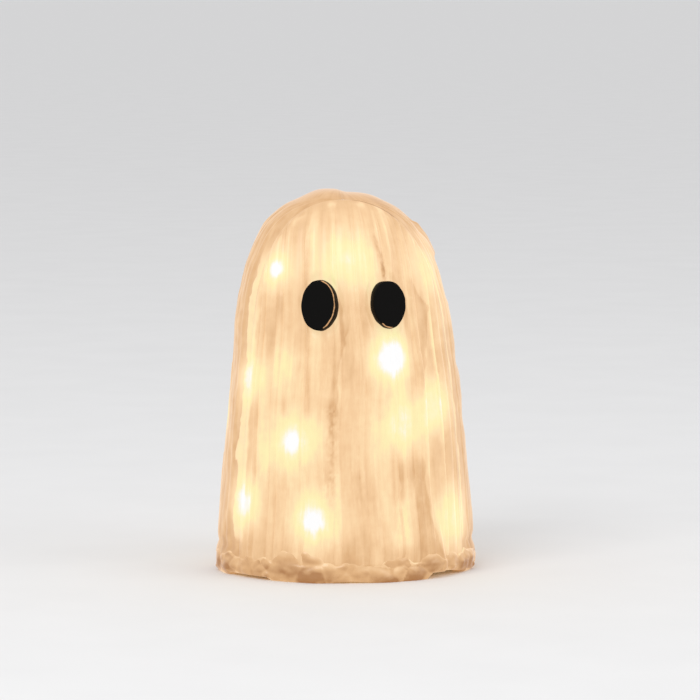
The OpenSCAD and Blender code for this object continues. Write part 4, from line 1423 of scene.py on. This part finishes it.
@dataclass
class HemBead:
    """The thick melted edge that the ghost stands on, with lumps that overlap each other.

    Names that start with glow are what the lamps, the lumps, the height and the slope add to its light; by
    the slope, faces of the lumps turned up are painted lighter, as lit by the shell above, and faces turned
    down darker. Names that end in cells are the number of cells of a noise round the hem. Each of the mottles
    has a share, such a number of cells, the noise's first row and the height of a cell.
    """

    form: BodyForm
    lamps: LampString
    turns: int = 640
    rows: int = 40
    reach_in: float = 9 * MM
    lift: float = 3 * MM
    lift_steep: float = 5.0
    foot_spread: float = 0.35
    foot_turn: float = math.radians(3.5)
    top: float = 20 * MM
    inner: float = -2.6 * MM
    sunk: float = 0.8 * MM
    seed: int = 31
    arc: float = 62 * MM
    upright: float = 1.2
    round_power: float = 1.1
    groove_tone: float = 0.21
    warp_cells: int = 64
    warp_run: float = 5 * MM
    warp_side: float = 2.2 * MM
    warp_up: float = 1.8 * MM
    warp_apart: tuple[float, float] = (0.5, 40)
    rim_height: float = 9.0 * MM
    rim_vary: float = 3.5 * MM
    rim_cells: int = 40
    rim_row: float = 3.5
    rim_fine: float = 1.5 * MM
    rim_fine_row: float = 5.5
    fine_cells: int = 110
    band: float = 1.35 * MM
    band_fade: float = 2.5 * MM
    body_share: float = 0.92
    skin_rough: float = 0.16 * MM
    skin_row: float = 7
    skin_rows: float = 9
    sink_most: float = 2.2
    sink_less: float = 1.2
    sink_full: float = 1.2 * MM
    turn_under: float = 0.84
    under_run: float = 0.165
    under_least: float = 0.4
    tuck_mm: float = 1.6
    foot_tone: float = 0.12
    foot_from: float = 0.85
    foot_run: float = 0.15
    crest_full: float = 2.0 * MM
    mottles: tuple[tuple[float, int, float, float], ...] = ((0.6, 30, 11, 6 * MM), (0.4, 84, 17, 3 * MM))
    glow_level: float = 0.125
    glow_crest: float = 0.12
    glow_mottle: float = 0.18
    glow_halo: float = 0.14
    glow_height: float = 0.28
    glow_lump: float = 0.8
    glow_lean: float = 0.2
    lean_most: float = 0.8
    main_lumps: tuple[Lump, ...] = (
        Lump(-88, 6.0, 9.5, 2.2, 0.02), Lump(-72, 5.5, 9.0, 2.2, -0.03), Lump(-57, 6.5, 9.0, 2.1, 0.0),
        Lump(-47, 3.0, 6.5, 2.0, 0.03), Lump(-33, 8.5, 11.5, 2.4, 0.05), Lump(-20, 12.0, 7.5, 2.2, 0.04),
        Lump(-22, 2.0, 11.0, 2.6, -0.10), Lump(-12, 6.5, 8.5, 2.1, 0.05), Lump(-1, 5.5, 10.0, 2.0, 0.06),
        Lump(8, 3.0, 8.0, 2.1, 0.03), Lump(19.5, 9.5, 6.5, 2.3, -0.10), Lump(18, 4.5, 5.0, 2.5, 0.18),
        Lump(14, 0.5, 9.0, 2.3, -0.04), Lump(28, 2.0, 8.0, 2.4, -0.06), Lump(37, 8.5, 8.5, 2.3, -0.03),
        Lump(50, 7.5, 8.5, 2.2, 0.0), Lump(62, 5.0, 7.5, 2.1, -0.03), Lump(74, 6.5, 9.0, 2.2, 0.02),
        Lump(88, 5.0, 9.0, 2.1, 0.0))
    lump_rows: tuple[LumpRow, ...] = (
        LumpRow(100, 160, 22, (6, 10), 0.08), LumpRow(-88, 176, 26, (3, 5.5), 0.03))

    def __post_init__(self) -> None:
        """Draws the lumps of the back and the small ones."""
        dice = np.random.default_rng(self.seed)
        self.all_lumps = list(self.main_lumps)
        for row in self.lump_rows:
            self.all_lumps += row.draw(dice)
        self.warp = Ripple(self.seed + 5)
        self.noise = Ripple(self.seed)

    def lumps(self, a: np.ndarray, z: np.ndarray) -> tuple[np.ndarray, np.ndarray]:
        """Height and tone of the lumps.

        Args:
            a: Angles from the face.
            z: Heights.

        Returns:
            Heights in metres, 0 beside the lumps, and tones that rise where they meet.
        """
        u, v = a / FULL_TURN * self.warp_cells, z / self.warp_run
        a = a + self.warp_side * self.warp.at(u, v, self.warp_cells) / self.arc
        z = z + self.warp_up * self.warp.at(u + self.warp_apart[0], v + self.warp_apart[1], self.warp_cells)
        whole, toned, most = (np.zeros(a.shape) for _ in range(3))
        for lump in self.all_lumps:
            turn = (a - math.radians(lump.angle) + math.pi) % FULL_TURN - math.pi
            rise = (z - lump.height * MM) * self.upright
            far = ((turn * self.arc) ** 2 + rise ** 2) / (lump.radius * MM) ** 2
            weight = (lump.tall * MM * np.clip(1 - far, 0, 1) ** self.round_power / MM) ** 3
            whole = whole + weight
            toned = toned + weight * lump.tone
            most = np.maximum(most, weight)
        some = np.maximum(whole, 1e-9)
        return whole ** (1 / 3) * MM, toned / some + self.groove_tone * (1 - most / some)

    def low_edge(self, a: np.ndarray) -> np.ndarray:
        """Lower edge: on the floor under the folds, stepped up beside the front lobe.

        Args:
            a: Angles from the face.

        Returns:
            Heights of the edge.
        """
        left_share, right_less, right_from, right_run = 0.5, 0.65, 46, 20
        lobe_rise, lobe_at, lobe_w = 0.3, -3, 8
        wave = self.form.fold_wave(a + self.foot_turn) + self.foot_spread
        turn = np.degrees((a + math.pi) % FULL_TURN - math.pi)
        share = np.where(turn > 0, 1 - right_less * ease((turn - right_from) / right_run), left_share)
        share = np.where(np.abs(turn) > 90, 1.0, share)
        hollow = lobe_rise * hump((turn - lobe_at) / lobe_w)
        return self.lift * (share * np.clip(-self.lift_steep * wave, 0.0, 1.0) + hollow)

    @staticmethod
    def held_in(a: np.ndarray) -> np.ndarray:
        """How far the hem is drawn in where it would pass the box: at both sides, the front and the back.

        Args:
            a: Angles from the face.

        Returns:
            Distances in millimetres.
        """
        side_w, front_w, front_share = 14, 11, 0.6
        turn = np.degrees(a) % 180
        front = hump(turn / front_w) + hump((turn - 180) / front_w)
        return hump((turn - 90) / side_w) + front_share * front

    def ring(self, a: np.ndarray, reach: np.ndarray, height: np.ndarray) -> np.ndarray:
        """Loop at a distance from the plain surface, at a height.

        Args:
            a: Angles from the face.
            reach: Distances outwards.
            height: Heights.

        Returns:
            The loop's points.
        """
        form = self.form
        out = np.stack([np.sin(a), -np.cos(a)], -1)
        base = form.skin(a, np.maximum(height, form.foot))
        return np.concatenate([base[:, :2] + reach[:, None] * out, height[:, None]], 1)

    def build(self, material: bpy.types.Material) -> bpy.types.Object:
        """Builds the bead and lets it stand for its node.

        Args:
            material: Finish of the bead.

        Returns:
            The piece.
        """
        form, noise = self.form, self.noise
        a = np.linspace(0.0, FULL_TURN, self.turns + 1)[:-1]
        cells, still = a / FULL_TURN, np.zeros_like(a)
        low, held = self.low_edge(a), self.held_in(a)
        half_w, half_d = (half - self.reach_in for half in form.flank(form.foot))
        edge = np.stack([half_w * np.sin(a), -half_d * np.cos(a)], -1)
        loops = [np.concatenate([edge, low[:, None]], 1),
                 np.concatenate([edge, (still + form.foot)[:, None]], 1),
                 self.ring(a, still + self.inner, still + form.foot),
                 self.ring(a, still + self.inner, still + self.top)]
        relief = [still for _ in loops]
        tones = [still for _ in loops]
        bodies = [still for _ in loops]
        waves = noise.at(cells * self.rim_cells, self.rim_row + still, self.rim_cells)
        crumbs = noise.at(cells * self.fine_cells, self.rim_fine_row + still, self.fine_cells)
        rim = self.rim_height + self.rim_vary * waves + self.rim_fine * crumbs
        first = len(loops)
        for s in np.linspace(0.0, 1.0, self.rows):
            height = self.top - (self.top - low) * s
            lumps, tone = self.lumps(a, height)
            band = self.band * (1 - ease((height - rim) / self.band_fade))
            body = self.body_share * (lumps ** 3 + band ** 3) ** (1 / 3)
            body -= self.sunk * (self.sink_most - self.sink_less * ease(body / self.sink_full))
            row = self.skin_row + s * self.skin_rows + still
            rough = noise.at(cells * self.fine_cells, row, self.fine_cells)
            body += self.skin_rough * rough - MM * held
            under = math.sqrt(max(0.0, 1 - (max(0.0, s - self.turn_under) / self.under_run) ** 2))
            kept = self.under_least + (1 - self.under_least) * under
            loops.append(self.ring(a, body * kept - (1 - under) * self.tuck_mm * MM, height))
            relief.append(np.maximum(lumps, band))
            tones.append(tone + self.foot_tone * max(0.0, s - self.foot_from) / self.foot_run)
            bodies.append(body)
        pts = np.stack(loops)
        lean = np.stack(bodies)
        lean[first:] = np.gradient(lean[first:], axis=0) / (self.top - low) * (self.rows - 1)
        height = pts[..., 2]
        mottled = sum(share * noise.at(cells * count, row + height / run, count)
                      for share, count, row, run in self.mottles)
        crest = np.stack(relief) / self.crest_full
        glow = self.glow_level - self.glow_crest * crest + self.glow_mottle * mottled
        glow = glow + self.glow_halo * self.lamps.light(pts)[1] + self.glow_height * height / self.top
        glow = glow + self.glow_lump * np.stack(tones)
        # Painted light: faces of the lumps turned up are lighter, as lit by the shell above, and faces turned
        # down darker
        glow = glow + self.glow_lean * np.clip(lean, -self.lean_most, self.lean_most)
        pile = MeshPile()
        grid = pile.add(pts, glow=glow, fibre=1.0, round=a * form.width / 2, up=height)
        ringed = np.concatenate([grid, grid[:, :1]], 1)
        pile.skin(np.concatenate([ringed, ringed[:1]], 0))
        piece = pile.make("hem_bead_lumps", material)
        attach(piece, BODY)
        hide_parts("hem_bead")
        return piece


@dataclass
class Eye:
    """A thick black oval, cut by hand and set on the strands.

    turn slants its face. Between the angles lit_worn_from and lit_worn_to the black is rubbed off its rim and
    the edge is painted pale, as a highlight of the shell's glow.
    Each of the wobbles of its cut has a share, a number of cells round the eye and a row of the noise.
    """

    form: BodyForm
    name: str
    node: str
    angle: float
    height: float
    turn: float
    lit_worn_from: float
    lit_worn_to: float
    seed: int
    half_w: float = 9 * MM
    half_h: float = 12.8 * MM
    thick: float = 4 * MM
    gap: float = 0.3 * MM
    bevel: float = 0.5 * MM
    points: int = 96
    wobbles: tuple[tuple[float, int, float], ...] = ((0.026, 9, 0.5), (0.018, 26, 4.5))
    lit_worn_ends: float = 0.25
    lit_worn_share: float = 0.75
    hub: float = 0.02
    midway: float = 0.5
    rim_step: float = 0.08
    bevel_round: float = 0.15

    def oval(self, k: np.ndarray) -> np.ndarray:
        """Outline of the eye, with the uneven cut of a hand.

        Args:
            k: Angles round the oval.

        Returns:
            Points across and up from its middle.
        """
        noise, cut = Ripple(self.seed), 1
        for size, cells, row in self.wobbles:
            cut = cut + size * noise.at(k / FULL_TURN * cells, np.full_like(k, row), cells)
        return np.stack([self.half_w * cut * np.cos(k), self.half_h * cut * np.sin(k)], -1)

    def back(self, oval: np.ndarray) -> np.ndarray:
        """Loop on the shell.

        Args:
            oval: Points across and up from the eye's middle.

        Returns:
            Points a gap over the shell.
        """
        half_w, half_d = self.form.flank(np.array(self.height))
        arc = math.hypot(half_w * math.cos(self.angle), half_d * math.sin(self.angle))
        at = self.angle + oval[:, 0] / arc, self.height + oval[:, 1]
        return self.form.skin(*at) + self.form.normal(*at) * self.gap

    def face(self, oval: np.ndarray, depth: float) -> np.ndarray:
        """Loop at a distance from the shell, slanted as the face is.

        Args:
            oval: Points across and up from the eye's middle.
            depth: Distance from the shell at the middle.

        Returns:
            Points on a plane.
        """
        here, step = (np.array(self.angle), np.array(self.height)), 0.01
        outward = self.form.normal(*here)
        side = self.form.skin(here[0] + step, here[1]) - self.form.skin(here[0] - step, here[1])
        side /= np.linalg.norm(side)
        face_way = math.cos(self.turn) * outward + math.sin(self.turn) * side
        face_side = math.cos(self.turn) * side - math.sin(self.turn) * outward
        above = np.cross(outward, side)
        return self.form.skin(*here) + depth * face_way + oval[:, :1] * face_side + oval[:, 1:] * above

    def build(self, material: bpy.types.Material) -> bpy.types.Object:
        """Builds the eye and lets it stand for its node.

        Args:
            material: Finish of the eye.

        Returns:
            The piece.
        """
        k = np.linspace(0.0, FULL_TURN, self.points + 1)[:-1]
        oval = self.oval(k)
        rim, shoulder = 1 - self.bevel / self.half_w, self.thick - self.bevel
        foot, brow = self.back(oval), self.face(oval, shoulder)
        # Loops from the back's middle over the rim to the face's middle, and how much of each is rubbed off
        # and painted lit
        loops = [(self.back(self.hub * oval), 0.0), (self.back(self.midway * oval), 0.0), (foot, 0.25),
                 (self.midway * (foot + brow), 0.1), (brow, 0.75),
                 (self.face((1 + rim) / 2 * oval, self.thick - self.bevel_round * self.bevel), 1.0)]
        for share, lit_bare in ((rim, 0.55), (rim - self.rim_step, 0.0), (self.midway, 0.0), (self.hub, 0.0)):
            loops.append((self.face(share * oval, self.thick), lit_bare))
        # Along part of the rim the black is rubbed off and the edge painted pale, as a highlight of the
        # shell's glow
        past = (k - self.lit_worn_from) % FULL_TURN
        lit_worn = ease(past / self.lit_worn_ends) * ease((self.lit_worn_to - self.lit_worn_from - past) / self.lit_worn_ends)
        lit_wear = np.array([lit_bare for _, lit_bare in loops])[:, None] * lit_worn[None, :] * self.lit_worn_share
        pile = MeshPile()
        grid = pile.add(np.stack([loop for loop, _ in loops]), lit_wear=lit_wear)
        pile.skin(np.concatenate([grid, grid[:, :1]], 1))
        pile.faces.append(tuple(int(i) for i in grid[0][::-1]))
        pile.faces.append(tuple(int(i) for i in grid[-1]))
        piece = pile.make(self.name, material)
        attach(piece, BODY)
        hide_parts(self.node)
        return piece


@dataclass
class InnerUnit:
    """The moulded base with its door, cells, board and lamp string, which keep their solids."""

    finishes: tuple[tuple[Moulded, tuple[str, ...]], ...] = (
        # Texture from a spark-cut mould: an even matt cream
        (Moulded("abs_moulded_spark_texture", "#dcd8cc", "#d2cdbf", 0.5, 22, 0.5, 0.03),
         ("base_moulding", "battery_door")),
        # Soft rubber: a dull dark grey
        (Moulded("rubber_moulded_matt", "#38383a", "#2c2c2e", 0.8, 9, 0.75, 0.03), ("door_seal",)),
        # Zinc plating: a grey metal with a soft sheen
        (Moulded("steel_zinc_plated", "#b4b6b8", "#9c9ea0", 0.4, 3, 0.34, 0.01, 1.0),
         ("door_screw", "board_screws")),
        # Nickel plating over stamped strip: a warm bright metal with faint lines
        (Moulded("steel_nickel_plated_stamped", "#c9c7c0", "#b1aea6", 0.3, 4, 0.28, 0.01, 1.0, (1, 6, 1)),
         ("contact_springs", "negative_plate", "bridge_plate_left", "bridge_plate_right", "positive_plate")),
        # Shrunk film: a glossy plain green
        (Moulded("shrink_film_printed_green", "#3f7a5c", "#356b50", 1.2, 8, 0.3, 0.01, 0.0, (6, 1, 1)),
         ("battery_1", "battery_2", "battery_3")),
        # Solder mask: a satin green
        (Moulded("glass_laminate_solder_mask", "#2f6b3c", "#275a32", 0.7, 3, 0.35, 0.01), ("control_board",)),
        # Moulded resin: a matt near-black
        (Moulded("resin_moulded_chip", "#232325", "#1b1b1d", 0.3, 2, 0.6, 0.01), ("timer_chip",)),
        # Drawn can: a bright metal with upright lines
        (Moulded("steel_drawn_can", "#c4c4c2", "#aeaeac", 0.3, 2, 0.25, 0.01, 1.0, (1, 1, 5)),
         ("crystal_can",)),
        # Nylon: a black with a dry sheen
        (Moulded("nylon_moulded_black", "#2b2b2d", "#222224", 0.4, 4, 0.55, 0.02), ("switch_body",)),
        # Acetal: a slick white
        (Moulded("acetal_moulded_white", "#e6e3da", "#dcd8cd", 0.4, 3, 0.32, 0.01), ("switch_slider",)),
        # Extruded PVC: smooth coverings with a soft gloss
        (Moulded("pvc_extruded_red", "#b3261e", "#9a1f18", 0.5, 3, 0.4, 0.01), ("positive_lead",)),
        (Moulded("pvc_extruded_black", "#1d1d1f", "#161618", 0.5, 3, 0.4, 0.01), ("negative_lead",)),
        (Moulded("pvc_extruded_clear", "#e4dfd2", "#d8d2c2", 0.6, 5, 0.3, 0.01), ("lamp_cable",)),
        # Shrunk sleeve: a dull milky white
        (Moulded("polyolefin_sleeve_shrunk", "#efece2", "#e4e0d4", 0.5, 3, 0.5, 0.02), ("lamp_sleeves",)),
        # Set glue: a waxy cream with slow waves
        (Moulded("hot_melt_glue_set", "#ece2cc", "#dfd3ba", 1.5, 4, 0.35, 0.05), ("lamp_glue", "base_glue")),
        # Cast epoxy with its lamp on: a clear warm glow
        (Moulded("epoxy_cast_lamp_lit", "#fff3c4", "#ffe9a8", 0.8, 2, 0.2, 0.01, glow="#ffe2a0"),
         ("led_lamps",)))

    def dress(self) -> None:
        """Gives each node its finish."""
        for finish, names in self.finishes:
            material = finish.build()
            for name in names:
                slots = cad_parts[name].data.materials
                slots.clear()
                slots.append(material)
                LOG.info("%s is %s", name, finish.name)


# Studio

@dataclass(frozen=True)
class Softbox:
    """A square lamp: where it stands and its side in metres, and its power in watts."""

    name: str
    place: tuple[float, float, float]
    side: float
    power: float

    def add(self, aim: Vector) -> None:
        """Adds the lamp.

        Args:
            aim: The point that it faces.
        """
        data = bpy.data.lights.new(self.name, "AREA")
        data.size, data.energy = self.side, self.power
        lamp = bpy.data.objects.new(self.name, data)
        lamp.location = self.place
        lamp.rotation_euler = (aim - Vector(self.place)).to_track_quat("-Z", "Y").to_euler()
        bpy.context.scene.collection.objects.link(lamp)


@dataclass
class Studio:
    """Camera, lamps, world and floor.

    The camera stands at the photograph's angle, and ground_x and ground_y are the pixel of the
    photograph on which the origin falls. pixel is the width of a pixel at the origin.
    """

    azimuth: float = math.radians(-6.5)
    elevation: float = math.radians(9)
    distance: float = 2.0
    sensor: float = 36.0
    near: float = 0.05
    far: float = 200.0
    pixel: float = 0.5287 * MM
    image: int = 700
    ground_x: float = 345.8
    ground_y: float = 567.2
    boxes: tuple[Softbox, ...] = (Softbox("key_softbox", (-1.2, -1.6, 1.7), 1.4, 21.0),
                                  Softbox("fill_softbox", (1.8, -1.2, 1.1), 1.6, 10.5))
    aim_height: float = 0.1
    room_colour: str = "#e5e5e6"
    room_strength: float = 1.05
    floor_half: float = 70.0
    floor_points: int = 3
    paper: PaperSweep = PaperSweep()

    def camera(self) -> None:
        """Sets the camera so that the origin falls on its pixel of the photograph."""
        back = Vector((math.sin(self.azimuth) * math.cos(self.elevation),
                       -math.cos(self.azimuth) * math.cos(self.elevation), math.sin(self.elevation)))
        right = Vector((math.cos(self.azimuth), math.sin(self.azimuth), 0.0))
        above = back.cross(right)
        middle = self.image / 2
        aim = right * ((middle - self.ground_x) * self.pixel)
        aim = aim + above * ((self.ground_y - middle) * self.pixel)
        data = bpy.data.cameras.new("photo_camera")
        data.sensor_width = self.sensor
        data.lens = data.sensor_width * self.distance / (self.image * self.pixel)
        data.clip_start, data.clip_end = self.near, self.far
        camera = bpy.data.objects.new("photo_camera", data)
        place = back * self.distance
        camera.location = place
        camera.rotation_euler = (aim - place).to_track_quat("-Z", "Y").to_euler()
        bpy.context.scene.collection.objects.link(camera)
        bpy.context.scene.camera = camera

    def light(self) -> None:
        """Adds the lamps and an even pale world."""
        for box in self.boxes:
            box.add(Vector((0, 0, self.aim_height)))
        world = bpy.data.worlds.new("pale_room")
        world.use_nodes = True
        feed(world.node_tree, world.node_tree.nodes["Background"], {
            "Color": linear(self.room_colour), "Strength": self.room_strength})
        bpy.context.scene.world = world

    def floor(self) -> None:
        """Adds the plain floor."""
        side = np.linspace(-self.floor_half, self.floor_half, self.floor_points)
        x, y = np.meshgrid(side, side)
        pile = MeshPile()
        pile.skin(np.arange(x.size).reshape(x.shape))
        mesh = bpy.data.meshes.new("studio_floor")
        mesh.from_pydata(np.stack([x, y, 0 * x], -1).reshape(-1, 3).tolist(), [], pile.faces)
        mesh.materials.append(self.paper.build())
        floor = bpy.data.objects.new("studio_floor", mesh)
        bpy.context.scene.collection.objects.link(floor)


def main() -> None:
    """Builds the ghost's pieces and the studio."""
    logging.basicConfig(level=logging.INFO, format="%(name)s: %(message)s")
    bpy.context.scene.view_settings.view_transform = "Standard"
    studio = Studio()
    studio.camera()
    form = BodyForm.from_frame()
    lamps = LampString(form)
    shell_finish = LitAcrylic().build()
    hem_finish = LitAcrylic(name="acrylic_melted_hem", streak_mm=5.0, streak_run_mm=4.0, cloud_mm=3.5,
                            streak_share=0.10, cloud_share=0.12, roughness=0.22).build()
    left_spot = (math.radians(-17.4), 142.5 * MM)
    right_spot = (math.radians(19.2), 142.5 * MM)
    face = StrandShell(form, lamps, Ground.FACE, "front_shell_strands", "front_shell",
                       StrandPlan(count=22, seed=5), cols=320, runs=FACE_RUNS, press=(left_spot, right_spot))
    rear = StrandShell(form, lamps, Ground.BACK, "rear_shell_strands", "rear_shell",
                       StrandPlan(count=32, seed=9), cols=480, runs=BACK_RUNS)
    pieces = [face.build(shell_finish), rear.build(shell_finish), HemBead(form, lamps).build(hem_finish)]
    eye_finish = CutEye().build()
    pieces.append(Eye(form, "left_eye_cut", "left_eye", *left_spot, turn=math.radians(-14),
                      lit_worn_from=-1.4, lit_worn_to=1.6, seed=51, half_w=9.3 * MM).build(eye_finish))
    pieces.append(Eye(form, "right_eye_cut", "right_eye", *right_spot, turn=math.radians(2),
                      lit_worn_from=3.9, lit_worn_to=5.0, seed=57, half_h=12.2 * MM).build(eye_finish))
    for piece in pieces:
        LOG.info("%s: %d faces", piece.name, len(piece.data.polygons))
    InnerUnit().dress()
    studio.light()
    studio.floor()


if __name__ == "__main__":
    main()
